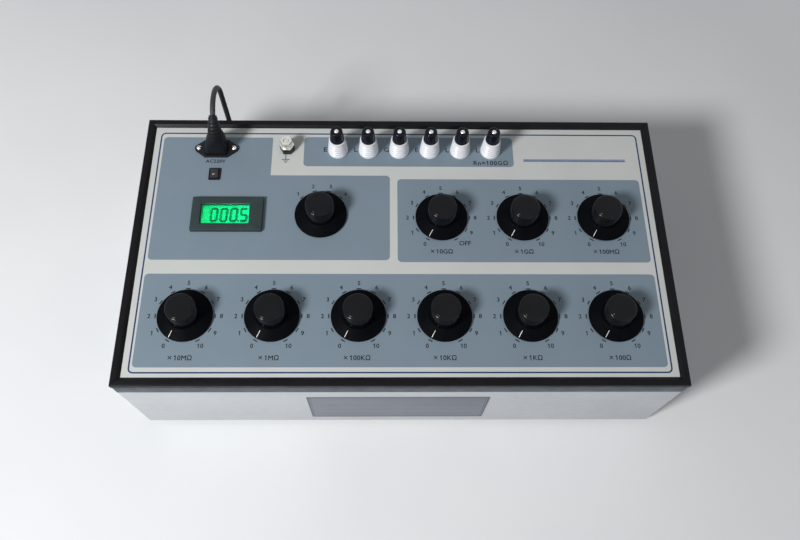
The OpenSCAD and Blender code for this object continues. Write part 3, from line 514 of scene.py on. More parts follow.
# Mains lead: the cord and its coil on one centreline, with the route of the CAD solids

CORD_R = 3.0
FLOOR_Z = 4.0
INLET = (-212.0, 122.0)
BOOT_Z = PANEL + 30.0
BOOT_R = 26.0
BOOT_TURN = math.acos(0.6)
BOOT_X = INLET[0] + 4.3
BOOT_END = (BOOT_X, INLET[1] + 0.4 * BOOT_R, BOOT_Z + 0.8 * BOOT_R)
ARCH = [(0, 0), (9, 4.5), (18, 6), (27, 4.5), (36, 0), (43, -7.5), (47, -16.5), (48, -27)]
DROP = [162, 145, 128, 111, 94, 77, 60, 46, 34]
BEND = [(2, 23), (6, 16), (12, 10), (21, 5.4), (30, FLOOR_Z)]
ALONG = [(-170, 180.5), (-158, 177.5), (-146, 173.5), (-134, 170), (-127, 168.8), (-121, 168.5)]
COIL_STEP = 6.6
COIL_TURNS = 3
COIL_R = 45.0
COIL_START = (-115.0, 168.5)
COIL_CENTRE = (COIL_START[0], COIL_START[1] + COIL_R)
COIL_IN_R = COIL_R - COIL_TURNS * COIL_STEP
COIL_TOP = FLOOR_Z + COIL_STEP
TAIL_L = 30.0
TAIL_TURN = 30
PLUG_Z = 14.0


def smooth_run(points):
    """Points on a smooth curve through the given ones."""
    steps = 4
    made = []
    knots = [Vector(p) for p in (points[0], *points, points[-1])]
    for p0, p1, p2, p3 in zip(knots, knots[1:], knots[2:], knots[3:]):
        for k in range(steps):
            t = k / steps
            made.append(0.5 * (2 * p1 + (p2 - p0) * t + (2 * p0 - 5 * p1 + 4 * p2 - p3) * t ** 2
                               + (3 * p1 - p0 - 3 * p2 + p3) * t ** 3))
    return made + knots[-1:]


def eased(t):
    t = max(0.0, min(1.0, t))
    return t * t * (3 - 2 * t)


def coil_point(t):
    """Place on the coil, t turns from where it reverses and climbs to its upper layer."""
    radius = COIL_IN_R + COIL_STEP * abs(t)
    lift = max(0.0, min(1.0, (t + 0.25) / 0.5))
    place = Vector(COIL_CENTRE) + heading(-90 + 360 * (t + COIL_TURNS)) * radius
    return Vector((*place, FLOOR_Z + COIL_STEP * lift))


def lead_route():
    """Centreline of the whole lead, from the strain relief to the plug."""
    drop_x = BOOT_END[0]
    drop_y = BOOT_END[1] + ARCH[-1][0]
    route = [(drop_x, BOOT_END[1] + y, BOOT_END[2] + z) for y, z in ARCH]
    route += [(drop_x, drop_y, z) for z in DROP]
    route += [(drop_x + x, drop_y, z) for x, z in BEND]
    route += [(x, y, FLOOR_Z) for x, y in ALONG]
    route.append((COIL_START[0] - 0.5, COIL_START[1], FLOOR_Z))
    line = smooth_run(route)
    loops = COIL_TURNS * 2 + 30 / 360
    count = round(loops * 48)
    line += [coil_point(-COIL_TURNS + loops * i / count) for i in range(count + 1)]
    leave = line[-1].copy()
    ahead = heading(TAIL_TURN).to_3d()
    for i in range(1, 11):
        step = leave + ahead * (TAIL_L * i / 10)
        step.z = COIL_TOP + (PLUG_Z - COIL_TOP) * eased(i / 8)
        line.append(step)
    return [p * MM for p in line]


LEAD = lead_route()


def mains_lead():
    curve = bpy.data.curves.new("mains_lead", "CURVE")
    curve.dimensions = "3D"
    curve.bevel_depth = CORD_R * MM
    curve.bevel_resolution = 4
    curve.use_fill_caps = True
    run = curve.splines.new("POLY")
    run.points.add(len(LEAD) - 1)
    for point, place in zip(run.points, LEAD):
        point.co = (*place, 1.0)
    run.use_smooth = True
    curve.materials.append(LEAD_BLACK)
    made = placed("mains_lead", curve)
    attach(made, "housing")
    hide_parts("mains_cord", "cord_coil")
    return made


def round_cornered(w, d, radius):
    """Rectangle about the origin, with fine arcs at its corners."""
    return rectangle(0, 0, w, d, radius, steps=7)


def block_ring(w, d, radius, z, lean):
    """Level ring, moved from the inlet's axis by the body's lean to the right."""
    return [Vector((INLET[0] + lean + x, INLET[1] + y, z)) * MM for x, y in round_cornered(w, d, radius)]


def line_connector():
    """Moulded connector: nose, lip, a body that leans to the right, and a ribbed relief that bends back."""
    levels = [
        (24.0, 16.0, 1.0, -14.0, 0), (24.0, 16.0, 1.0, 2.8, 0), (24.2, 18.2, 2.6, 2.9, 0),
        (24.6, 18.8, 3.0, 3.3, 0), (24.6, 18.8, 3.0, 4.8, 0), (23.2, 18.4, 3.4, 5.6, 0),
        (22.8, 18.2, 3.8, 11.0, 0.6), (22.2, 18.0, 4.4, 16.6, 1.5), (21.2, 17.9, 5.4, 21.0, 2.4),
        (19.6, 17.7, 6.8, 25.4, 3.3), (18.2, 17.6, 8.0, 28.4, 4.0), (17.5, 17.5, 8.7, 30.0, 4.3),
    ]
    rings = [block_ring(w, d, radius, PANEL + z, lean) for w, d, radius, z, lean in levels]
    ribs = 7
    rib_depth = 0.55
    root_r = 8.75
    tip_r = 4.75
    steps = ribs * 4
    for i in range(1, steps + 1):
        a = BOOT_TURN * i / steps
        radius = root_r + (tip_r - root_r) * i / steps
        if i % 4 in (2, 3):
            radius -= rib_depth
        middle = Vector((BOOT_X, INLET[1] + BOOT_R * (1 - math.cos(a)), BOOT_Z + BOOT_R * math.sin(a)))
        across = Vector((0, math.cos(a), -math.sin(a)))
        circle = round_cornered(2 * radius, 2 * radius, radius)
        rings.append([(middle + Vector((u, 0, 0)) + across * v) * MM for u, v in circle])
    bm = lofted(rings)
    bmesh.ops.remove_doubles(bm, verts=bm.verts, dist=2e-6)
    return piece("line_connector_body", faced(bm), INLET_BLACK, crease=45,
                 node="line_connector")


def cord_tie():
    """Flat band round the coil's left side."""
    beside = CORD_R + 0.8
    above = CORD_R + 0.35
    thick = 0.6
    width = 8
    inner = COIL_IN_R + COIL_STEP * 0.25 - beside
    outer = COIL_IN_R + COIL_STEP * 2.75 + beside
    low = FLOOR_Z - above
    high = COIL_TOP + above
    middle = (COIL_CENTRE[0] - (inner + outer) / 2, (low + high) / 2)
    y = COIL_CENTRE[1] - width / 2
    rings = []
    for extra in (0.0, thick):
        outline = rectangle(*middle, outer - inner + 2 * extra, high - low + 2 * extra, 1.2 + extra)
        rings.append([Vector((x, y, z)) * MM for x, z in outline])
    band = drawn_out(skinned(rings), (0, width, 0))
    return piece("cord_tie_band", band, TIE_BLACK, node="cord_tie")


def to_plug(bm):
    """Puts a shape made along +X at the end of the lead."""
    return moved(swung(bm, TAIL_TURN, "Z"), LEAD[-1] / MM)


def standing_ring(x, w, h, radius):
    """Upright ring across the plug's length."""
    return [Vector((x, y, z)) * MM for y, z in round_cornered(w, h, radius)]


def mains_plug():
    """Plug with a ribbed relief, a waisted grip and three flat blades."""
    rings = []
    for i in range(13):
        radius = 4.2 + 1.3 * i / 12 - (0.5 if i % 3 == 2 else 0.0)
        rings.append(standing_ring(14.0 * i / 12, 2 * radius, 2 * radius, radius * 0.98))
    grip = [
        (14.6, 20, 18, 5), (16.0, 26, 23, 5), (20.0, 28.5, 25, 4.5), (30.0, 28.0, 25, 4),
        (38.0, 30.6, 27, 4), (41.0, 32, 28, 4), (49.0, 32, 28, 4), (50.0, 30.4, 26.4, 3.4),
    ]
    rings += [standing_ring(*level) for level in grip]
    body = piece("mains_plug_body", to_plug(lofted(rings)), LEAD_BLACK, crease=40,
                 node="mains_plug")
    blades = []
    outline = [(49, -0.8), (65.2, -0.8), (67, -0.3), (67, 0.3), (65.2, 0.8), (49, 0.8)]
    for y, z, turn in ((-7, 3, -30), (7, 3, 30), (0, -8, 0)):
        blade = plate(outline, -3.15, 3.15)
        soften(blade, 0.25)
        blades.append(moved(swung(blade, turn, "X"), (0, y, z)))
    pins = piece("mains_plug_blades", to_plug(gather(blades)), BRASS, node="mains_plug")
    return body, pins


connector = line_connector()
tie = cord_tie()
plug_body, plug_blades = mains_plug()
lead = mains_lead()


# Knobs and dials

DIAL_PITCH = 90.5
FRONT_Y = -84.5
BACK_Y = 33.0
DIALS = [((i - 2.5) * DIAL_PITCH, BACK_Y) for i in (3, 4, 5)]
DIALS += [((i - 2.5) * DIAL_PITCH, FRONT_Y) for i in range(6)]
SELECTOR = (-89.0, 36.0)
ZERO = 240
SELECTOR_REST = 105

KNOB_PROFILE = rounded([
    (0, 20, 0), (3, 20, 0), (3, 7.5, 0), (12, 7.5, 0), (12, 0.8, 0.3), (29, 0.8, 0.45), (29, 2.6, 0.5),
    (17.63, 7.15, 1.6), (15.3, 26.2, 2.0), (13.1, 26.2, 0.3), (12.7, 26.95, 0.6), (0, 27, 0),
])
GRIP_FOOT = PANEL + 7.6


def pointer_line(x, y, angle):
    """White line let into the skirt's cone, along the direction of the angle."""
    start = Vector((28.2, 2.92))
    end = Vector((20.8, 5.88))
    width = 0.6
    proud = 0.06
    sunk = 0.3
    run = start - end
    middle = (start + end) / 2
    bm = soften(plate(rectangle(0, 0, run.length, width), -sunk, proud), 0.05)
    swung(bm, math.degrees(math.atan2(-run.y, run.x)), "Y")
    moved(bm, (middle.x, 0, middle.y + PANEL))
    return moved(swung(bm, angle, "Z"), (x, y, 0))


def skirted_knob(name, node, body, place, angle):
    """Knob with a dull skirt, a glossy grip and its pointer."""
    x, y = place
    shape = turned(KNOB_PROFILE, (x, y, PANEL), 96)
    knob = piece(name, shape, SKIRT_BLACK, body, node=node)
    knob.data.materials.append(GRIP_BLACK)
    for face in knob.data.polygons:
        face.material_index = int(face.center.z > GRIP_FOOT * MM)
    piece(name + "_pointer", pointer_line(x, y, angle), WHITE_INK, body)


for number, place in enumerate(DIALS, 1):
    skirted_knob(f"skirted_knob_{number}", f"dial_knob_{number}", f"dial_{number}", place, ZERO)
skirted_knob("skirted_knob_selector", "selector_knob", "selector", SELECTOR, SELECTOR_REST)


# Binding posts and the earth post

TERMINALS = [(-72 + 35.3 * i, 121.0) for i in range(6)]
INSULATOR_TOP = 23.0


def insulator_profile():
    """Tapered insulator with shallow rings turned into its side."""
    foot = 1.5
    top = 22.0
    wide = 11.5
    narrow = 9.5
    corners = [(2.5, -2, 0), (6, -2, 0), (6, 0, 0), (wide, 0, 0.2), (wide, foot, 0.6)]
    for k in range(5):
        z = 3.4 + 3.7 * k
        for dz, cut in ((0, 0), (0.5, 0.65), (1.1, 0.65), (1.6, 0)):
            share = (z + dz - foot) / (top - foot)
            corners.append((wide + (narrow - wide) * share - cut, z + dz, 0.12))
    corners += [(narrow, top, 0.4), (narrow - 0.5, INSULATOR_TOP, 0.2)]
    corners += [(2.5, INSULATOR_TOP, 0), (2.5, -2, 0)]
    return rounded(corners, steps=3)


CAP_PROFILE = rounded([
    (2.55, 1.2, 0), (5.3, 1.2, 0), (5.3, 0.1, 0), (8.2, 0.1, 0.5), (8.15, 2.0, 0.3), (7.85, 2.3, 0.2),
    (7.82, 2.9, 0.2), (8.02, 3.2, 0.3), (6.8, 15.5, 1.4), (4.6, 15.5, 0.3), (4.4, 15.2, 0.2),
    (2.55, 15.2, 0.2), (2.55, 1.2, 0),
])

piece("post_insulators", gather([turned(insulator_profile(), (x, y, PANEL), 64) for x, y in TERMINALS]),
      INSULATOR_WHITE, node="terminal_insulators")
for number, (x, y) in enumerate(TERMINALS, 1):
    piece(f"post_cap_{number}", turned(CAP_PROFILE, (x, y, PANEL + INSULATOR_TOP), 64),
          CAP_BLACK, f"cap_{number}", node=f"terminal_cap_{number}")

EARTH = (-130.5, 122.5)


def threaded(radius, low, high, pitch, tip):
    """Stud profile with a ridge for each thread and a chamfered end."""
    corners = [(0, low), (radius, low)]
    depth = 0.35
    z = low + pitch
    while z + pitch < high - tip:
        corners += [(radius, z), (radius - depth, z + pitch / 2)]
        z += pitch
    corners += [(radius, z), (radius - tip, high), (0, high)]
    return corners


def earth_post():
    """Nickel hexagon base whose sides below a bright top edge are black as painted shade, and its stud
    above and below the panel.
    """
    shade_top = PANEL + 8.7
    high = PANEL + 9.5
    # The base's lower sides are a black plate of painted shade; only the top edge is nickel.
    base = soften(plate(hexagon(*EARTH, 15), PANEL, shade_top), 0.2)
    top = soften(plate(hexagon(*EARTH, 15), shade_top, high), 0.35, at_height(high))
    stud = turned(threaded(3.0, PANEL + 9.0, PANEL + 17.5, 1.0, 0.6), (*EARTH, 0), 48)
    tail = turned(threaded(3.0, PANEL - 15, PANEL + 0.5, 1.0, 0.0), (*EARTH, 0), 48)
    lock = soften(plate(hexagon(*EARTH, 12), PANEL - 7, PANEL - 2), 0.3)
    piece("earth_post_body", gather([top, stud, tail, lock]), NICKEL, node="earth_post")
    piece("earth_post_base", base, EARTH_PAINTED_SHADE, node="earth_post")


def ringed(outline, hole_r, low, high, edge):
    """Plate with a round hole: the outline joined to a circle, then raised and softened."""
    middle = sum(outline, Vector((0, 0))) / len(outline)
    hole = [middle + (p - middle).normalized() * hole_r for p in outline]
    bm = raised(flat_ring(outline, hole, low), high - low)
    return soften(bm, edge)


earth_post()
piece("earth_nut_body", ringed(hexagon(*EARTH, 12, 6), 3.05, PANEL + 10.7, PANEL + 17.7, 0.5),
      NICKEL, "earth_nut", node="earth_nut")


# Case walls and the screws under the case

CASE_LOW = 8.0
WALL_H = 121.5


def case_shell():
    """White sheet walls, bent sharply round the four corners."""
    walls = flat_ring(rectangle(0, 0, 586.8, 319.8, 1.0), rectangle(0, 0, 582.8, 315.8, 0.2), CASE_LOW)
    raised(walls, WALL_H)
    soften(walls, 0.5, at_height(CASE_LOW), 3)
    piece("case_shell", walls, WHITE_COAT, node="case_walls")


def cross_slot(x, y, long, wide, low, high):
    """Two crossed black bars in a screw's head, as painted shade in its cross recess."""
    return [plate(rectangle(x, y, w, d, 0.15), low, high) for w, d in ((long, wide), (wide, long))]


def base_screws():
    """Pan-headed screws along the edges of the base plate, with their cross recesses as black painted
    shade.
    """
    places = [(x, side * 150) for x in (-200, -70, 70, 200) for side in (-1, 1)] + [(-283, 0), (283, 0)]
    profile = rounded([(0, 0, 0), (3, 0, 0), (2.9, -1.0, 0.5), (1.7, -1.75, 0.6), (0, -1.8, 0)])
    heads = []
    recess_shades = []
    for x, y in places:
        heads.append(turned(profile, (x, y, CASE_LOW), 36))
        recess_shades += cross_slot(x, y, 2.8, 0.6, CASE_LOW - 1.83, CASE_LOW - 1.5)
    piece("base_screw_heads", gather(heads), NICKEL)
    piece("base_screw_recess_shade", gather(recess_shades), MODULE_AND_SHADE_BLACK)


case_shell()
base_screws()


# Frame rails

FRAME_W = 588.0
FRAME_D = 321.0
MITRE_GAP = 0.2
# Heights are from the top of the frame, with the panel 3 mm down
RAIL_PROFILE = rounded([
    (0.6, -26.5, 0.3), (0.6, -8.0, 0.15), (1.3, -7.8, 0.15), (1.3, -7.2, 0.15), (0.0, -7.0, 0.35),
    (0.0, -5.0, 0.08), (0.3, -4.8, 0.08), (0.3, -4.3, 0.08), (0.0, -4.1, 0.08), (0.0, 0.0, 1.2),
    (6.2, 0.0, 0.6), (9.8, -2.95, 0.1), (2.6, -2.95, 0), (2.6, -5.0, 0), (14, -5.0, 0.3),
    (14, -7.0, 0.3), (4.6, -7.0, 0.4), (4.6, -40.5, 0.3), (2.6, -40.5, 0.3), (2.6, -26.5, 0),
], closed=True)


def frame_rail(length, depth, turn):
    """Moulding along one side of the frame, mitred at both ends, turned to its own side."""
    bm = bmesh.new()
    end = [(-length / 2, u - depth / 2, FRAME_TOP + z) for u, z in RAIL_PROFILE]
    bm.faces.new([bm.verts.new(Vector(p) * MM) for p in end])
    drawn_out(bm, (length, 0, 0))
    for side in (-1, 1):
        corner = Vector((side * (length / 2 - MITRE_GAP), -depth / 2, 0)) * MM
        sawn = bmesh.ops.bisect_plane(bm, geom=bm.verts[:] + bm.edges[:] + bm.faces[:], dist=1e-7,
                                      plane_co=corner, plane_no=(side, 1, 0), clear_outer=True)
        rim = [e for e in sawn["geom_cut"] if isinstance(e, bmesh.types.BMEdge)]
        bmesh.ops.edgeloop_fill(bm, edges=rim)
    return swung(faced(bm), turn, "Z")


piece("frame_rails_long", gather([frame_rail(FRAME_W, FRAME_D, turn) for turn in (0, 180)]),
      FRAME_BLACK, node="long_frame_rails")
piece("frame_rails_short", gather([frame_rail(FRAME_D, FRAME_W, turn) for turn in (90, 270)]),
      FRAME_BLACK, node="short_frame_rails")


# Panel meter, power switch, inlet screws and name plate

METER = (-192.5, 35.5)
WINDOW = (METER[0] - 2.5, METER[1])
DISPLAY_LOW = PANEL + 1.2
DISPLAY_TOP = PANEL + 1.26


def meter_bezel():
    """Bezel with a softened rim, round its window."""
    high = PANEL + 4.5
    body = holed(rectangle(*METER, 79, 42, 1.2), WINDOW, (53.5, 24.5), PANEL, high)
    soften(body, 0.9, at_height(high), 3)
    piece("meter_bezel_frame", body, BEZEL_GREY, node="meter_bezel")


SEGMENTS = {
    "a": ((0, 1), (1, 1)), "b": ((1, 1), (1, 0.5)), "c": ((1, 0.5), (1, 0)), "d": ((0, 0), (1, 0)),
    "e": ((0, 0.5), (0, 0)), "f": ((0, 1), (0, 0.5)), "g": ((0, 0.5), (1, 0.5)),
}
DIGITS = {"0": "abcdef", "5": "acdfg"}


def display_digits():
    """Seven-segment figures, 000.5, on the display."""
    wide = 6.6
    tall = 15.2
    bar = 2.7
    lap = 0.5
    pitch = 10.9
    first = WINDOW[0] - 15.6
    foot = WINDOW[1] - 8.2
    slant = 0.04
    low = DISPLAY_TOP
    high = low + 0.06
    bars = []
    for place, figure in enumerate("0005"):
        for name in DIGITS[figure]:
            (x0, y0), (x1, y1) = SEGMENTS[name]
            start = Vector((x0 * wide, y0 * tall))
            end = Vector((x1 * wide, y1 * tall))
            run = (end - start).normalized()
            side = Vector((-run.y, run.x)) * bar / 2
            start -= run * lap
            end += run * lap
            tip = run * bar / 2
            outline = [start, start + tip + side, end - tip + side]
            outline += [end, end - tip - side, start + tip - side]
            left = first + place * pitch
            bars.append(plate([(left + p.x + p.y * slant, foot + p.y) for p in outline], low, high))
    dot_x = first + 2 * pitch + wide + 2.4
    bars.append(plate(rectangle(dot_x, foot - 0.2, 2.1, 2.1, 0.4), low, high))
    piece("display_digits", gather(bars), DIGIT_GREEN)


def display_glass():
    """Backlit face of the display, just over the module."""
    glass = plate(rectangle(*WINDOW, 53.1, 24.1, 0.4), DISPLAY_LOW, DISPLAY_TOP)
    piece("display_face", glass, DISPLAY_GREEN)


meter_bezel()
display_glass()
display_digits()

SWITCH = (-211.5, 88.0)
PIVOT = PANEL + 0.6
WELL = (9.4, 12.37)
SWITCH_SHELL = (11.2, 14.17)
ROCKER_TILT = 9
SOCKET = (24.6, 16.6)
SOCKET_SHELL = (27.6, 19.6)
INLET_SCREW_X = 20


def switch_frame():
    """Flange with a softened rim, and the switch's shell below the panel."""
    high = PANEL + 1.8
    deep = PANEL - 18
    flange = holed(rectangle(*SWITCH, 13, 15, 0.8), SWITCH, WELL, PANEL, high)
    soften(flange, 0.35, at_height(high))
    shell = holed(rectangle(*SWITCH, *SWITCH_SHELL), SWITCH, WELL, deep, PANEL)
    floor = plate(rectangle(*SWITCH, *WELL), deep, PANEL - 5.4)
    piece("switch_frame_body", gather([flange, shell, floor]), INLET_BLACK,
          node="switch_frame")


def rocker():
    """Rocker with its back end up, its pivot pins, and a white mark on its front half."""
    profile = [(-5.4, -1), (-2.7, -3.2), (2.7, -3.2), (5.4, -1), (5.4, 3.1), (0, 2.1), (-5.4, 3.1)]
    width = 8.8
    paddle = bmesh.new()
    paddle.faces.new([paddle.verts.new(Vector((-width / 2, y, z)) * MM) for y, z in profile])
    drawn_out(paddle, (width, 0, 0))
    soften(paddle, 0.35, lambda e: is_sharp(e) and all(v.co.z > 0 for v in e.verts), 3)
    pin = turned([(0, -5.15), (0.8, -5.15), (0.8, 5.15), (0, 5.15)], (0, 0, 0), 24)
    whole = gather([paddle, swung(pin, 90, "Y")])
    mark = plate(rectangle(-0.9, -1.0, 2.6, 0.6, 0.2), 0, 0.1)
    lean = math.degrees(-math.atan2(1.0, 5.4))
    moved(swung(mark, lean, "X"), (0, 0, 2.09))
    for bm in (whole, mark):
        moved(swung(bm, ROCKER_TILT, "X"), (*SWITCH, PIVOT))
    piece("rocker_paddle", whole, ROCKER_BLACK, "rocker", node="rocker")
    piece("rocker_mark", mark, WHITE_INK, "rocker")


def inlet_outline():
    """Outline of the flange, with a round ear at each screw."""
    right = [(INLET_SCREW_X + 5 * u, 5 * v) for u, v in map(heading, range(-55, 56, 11))]
    left = [(-x, -y) for x, y in right]
    outline = [(-13, -11.75), (13, -11.75)] + right + [(13, 11.75), (-13, 11.75)] + left
    return [(INLET[0] + x, INLET[1] + y) for x, y in outline]


def mains_inlet():
    """Flange with a softened rim, and the socket's shell below the panel."""
    high = PANEL + 2.5
    deep = PANEL - 16
    flange = holed(inlet_outline(), INLET, SOCKET, PANEL, high)
    soften(flange, 0.6, at_height(high), 3)
    shell = holed(rectangle(*INLET, *SOCKET_SHELL), INLET, SOCKET, deep, PANEL)
    floor = plate(rectangle(*INLET, *SOCKET_SHELL), deep - 1.5, deep)
    piece("mains_inlet_flange", gather([flange, shell, floor]), INLET_BLACK,
          node="mains_inlet")


def inlet_screws():
    """Round-headed screws with their cross slots as black painted shade, their shanks and nuts."""
    profile = rounded([(0, 2.5, 0), (3, 2.5, 0), (2.9, 3.3, 0.5), (1.6, 4.45, 0.6), (0, 4.5, 0)])
    heads = []
    recess_shades = []
    y = INLET[1]
    for side in (-1, 1):
        x = INLET[0] + side * INLET_SCREW_X
        heads.append(turned(profile, (x, y, PANEL), 36))
        heads.append(turned([(0, -5.9), (1.5, -5.9), (1.5, 2.6), (0, 2.6)], (x, y, PANEL), 24))
        heads.append(plate(hexagon(x, y, 5.5), PANEL - 4.4, PANEL - 2))
        recess_shades += cross_slot(x, y, 2.6, 0.55, PANEL + 4.2, PANEL + 4.53)
    piece("inlet_screw_heads", gather(heads), NICKEL, node="inlet_screws")
    piece("inlet_screw_recess_shade", gather(recess_shades), MODULE_AND_SHADE_BLACK)


def name_plate():
    """Bare plate on the front wall, with a ruled border and blank ruled lines."""
    x, z = -3.0, 68.5
    wall = -159.9
    thick = 0.45
    body = plate(rectangle(x, z, 196, 85, 1.5), 0, thick)
    soften(body, 0.2, at_height(thick))
    rules = [
        outlined(rectangle(x, z, 194, 83, 1.2), 0.8, thick, 0.05),
        outlined(rectangle(x, z, 189.6, 78.6, 0.8), 0.4, thick, 0.05),
    ]
    for rule_z in (-26, -8, 10):
        for side in (-46, 46):
            rules.append(plate(rectangle(x + side, z + rule_z, 78, 0.4), thick, thick + 0.04))
    border = gather(rules)
    for bm in (body, border):
        moved(swung(bm, 90, "X"), (0, wall, 0))
    piece("name_plate_blank", body, PLATE_SILVER, node="name_plate")
    piece("name_plate_border", border, PLATE_LINE)


switch_frame()
rocker()
mains_inlet()
inlet_screws()
name_plate()


# Printing on the panel

FIELD_H = 0.05
INK_H = 0.04
INK_LOW = PANEL + FIELD_H
INK_HIGH = INK_LOW + INK_H
STROKE_REACH = 31.2
FIGURE_REACH = 37.8


def printed(name, bm, material):
    """Piece of the panel's printing."""
    piece(name, bm, material, crease=20)


def printed_fields():
    """Slate fields: behind the front row, the left group, the posts and the back row."""
    front = flat_face(rectangle(-0.25, -88.15, 548.5, 104.3, 4.5), PANEL)
    left = flat_face(rounded([
        (-274, -19.6, 4.5), (-12.2, -19.6, 4.5), (-12.2, 87, 4.5),
        (-148, 87, 0), (-148, 138, 1.2), (-274, 138, 4.5),
    ], closed=True), PANEL)
    open_hole(left, *SWITCH, *SWITCH_SHELL)
    posts = flat_face(rectangle(9.75, 119.15, 242.5, 39.7, 4.5), PANEL)
    back = flat_face(rectangle(134.65, 30.35, 276.7, 104.3, 4.5), PANEL)
    fields = gather([raised(bm, FIELD_H) for bm in (front, left, posts, back)])
    printed("panel_fields", fields, FIELD_INK)


def printed_lines():
    """Border round the panel, and the two bars at its back right."""
    line = outlined(rectangle(0, -1.25, 556.4, 290.9, 5.4), 1.6, PANEL, INK_H)
    printed("panel_border_line", line, NAVY_INK)
    for name, y, d, material in (("bar", 107.5, 1.9, BAR_INK), ("bar_pale", 109.3, 1.7, PALE_BAR_INK)):
        bar = plate(rectangle(201.7, y, 118.2, d), PANEL, PANEL + INK_H)
        printed("panel_title_" + name, bar, material)


def bolder(bm, by):
    """Moves the outline of flat lettering outwards."""
    bmesh.ops.remove_doubles(bm, verts=bm.verts, dist=1e-6)
    faced(bm)
    outward = {}
    for edge in bm.edges:
        if len(edge.link_faces) != 1:
            continue
        corner = edge.link_loops[0]
        ahead = corner.link_loop_next.vert.co - corner.vert.co
        side = ahead.cross(corner.face.normal).normalized()
        for vert in edge.verts:
            outward.setdefault(vert, []).append(side)
    for vert, sides in outward.items():
        total = sum(sides, Vector())
        share = max(total.length_squared / len(sides), 0.6)
        vert.co += total * (by * MM / share)


def flag_ones(bm):
    """Gives each plain upright, as the font draws a one, its flag."""
    seen = set()
    for first in bm.verts[:]:
        if first in seen:
            continue
        group = [first]
        seen.add(first)
        for vert in group:
            for edge in vert.link_edges:
                other = edge.other_vert(vert)
                if other not in seen:
                    seen.add(other)
                    group.append(other)
        left = min(v.co.x for v in group)
        right = max(v.co.x for v in group)
        top = max(v.co.y for v in group)
        if len(group) != 4 or right - left > 0.15 or top < 0.6:
            continue
        bmesh.ops.delete(bm, geom=group, context="VERTS")
        outline = [(left, 0), (right, 0), (right, top), (left + 0.03, top), (left - 0.13, top - 0.12),
                   (left - 0.13, top - 0.22), (left, top - 0.13)]
        bm.faces.new([bm.verts.new((x, y, 0)) for x, y in outline])


def written(words, x, y, tall, spread=1.0, bold=0.13):
    """Letters made into a mesh, centred on a point of the panel."""
    cap_height = 0.69
    curve = bpy.data.curves.new("written", "FONT")
    curve.body = words
    curve.resolution_u = 3
    curve.space_character = spread
    holder = placed("written", curve)
    flat = holder.evaluated_get(bpy.context.evaluated_depsgraph_get())
    mesh = bpy.data.meshes.new_from_object(flat)
    bpy.data.objects.remove(holder)
    bpy.data.curves.remove(curve)
    bm = bmesh.new()
    bm.from_mesh(mesh)
    bpy.data.meshes.remove(mesh)
    bmesh.ops.remove_doubles(bm, verts=bm.verts, dist=1e-4)
    flag_ones(bm)
    xs = [v.co.x for v in bm.verts]
    ys = [v.co.y for v in bm.verts]
    centre = Vector(((min(xs) + max(xs)) / 2, (min(ys) + max(ys)) / 2, 0))
    size = tall / cap_height * MM
    bmesh.ops.translate(bm, verts=bm.verts, vec=-centre)
    bmesh.ops.scale(bm, verts=bm.verts, vec=(size, size, size))
    moved(bm, (x, y, INK_LOW))
    bolder(bm, bold)
    return raised(bm, INK_H)


def stroke(x, y, w, d, edge, angle):
    """Printed bar, turned by an angle."""
    bar = plate(rectangle(0, 0, w, d, edge), INK_LOW, INK_HIGH)
    return moved(swung(bar, angle, "Z"), (x, y, 0))


def beside(place, angle, reach):
    """Point at a distance from a knob's axis, in the direction of an angle."""
    return Vector(place) + heading(angle) * reach


def scale_stroke(place, angle):
    """Short stroke beside a knob's skirt, across the direction of the angle."""
    return stroke(*beside(place, angle, STROKE_REACH), 1.2, 4.9, 0.2, angle)


def multiplier_label(x, y, words):
    """A large times sign, and the words to its right."""
    arm = 5.0
    gap = 4.3
    text = written(words, x + 2.4, y, 5.0, spread=1.04)
    left = min(v.co.x for v in text.verts) / MM
    return [text] + [stroke(left - gap, y, arm, 0.75, 0.1, turn) for turn in (45, -45)]


def dial_scale(place, ends_off, multiplier, drop):
    """Eleven strokes and figures round a dial, and its multiplier below."""
    x, y = place
    parts = []
    for step in range(11):
        angle = ZERO - 30 * step
        parts.append(scale_stroke(place, angle))
        if step == 10 and ends_off:
            parts.append(written("OFF", x + 25.2, y - 31.8, 5.2))
            continue
        parts.append(written(str(step), *beside(place, angle, FIGURE_REACH), 4.6))
    return parts + multiplier_label(x, y - drop, multiplier)


def earth_sign():
    """A stem and three bars, each shorter than the last."""
    x = -132.0
    bars = ((112.0, 0.8, 7.4), (108.3, 9.0, 0.8), (106.2, 5.4, 0.8), (104.2, 2.2, 0.8))
    return [plate(rectangle(x, y, w, d), PANEL, PANEL + INK_H) for y, w, d in bars]


def lettering():
    """All the black printing: dial scales, post letters, positions and signs."""
    parts = []
    multipliers = ["10GΩ", "1GΩ", "100MΩ", "10MΩ", "1MΩ", "100KΩ", "10KΩ", "1KΩ", "100Ω"]
    for number, place in enumerate(DIALS):
        parts += dial_scale(place, number == 0, multipliers[number], 41.7 if number < 3 else 45.5)
    for angle, figure in ((135, "1"), (105, "2"), (75, "3"), (45, "4")):
        parts.append(scale_stroke(SELECTOR, angle))
        parts.append(written(figure, *beside(SELECTOR, angle, FIGURE_REACH), 4.4))
    for (x, y), letter in zip(TERMINALS, "ELGELL"):
        parts.append(written(letter, x - 14.7, y + 1, 6.0))
    parts.append(written("Rn=100GΩ", 104.4, 104.7, 5.4, spread=1.14, bold=0.14))
    parts.append(written("AC220V", -212, 105.6, 4.1, spread=1.1, bold=0.12))
    parts += earth_sign()
    printed("panel_lettering", gather(parts), BLACK_INK)


printed_fields()
printed_lines()
lettering()


# Finishes of the CAD nodes that stay as they are

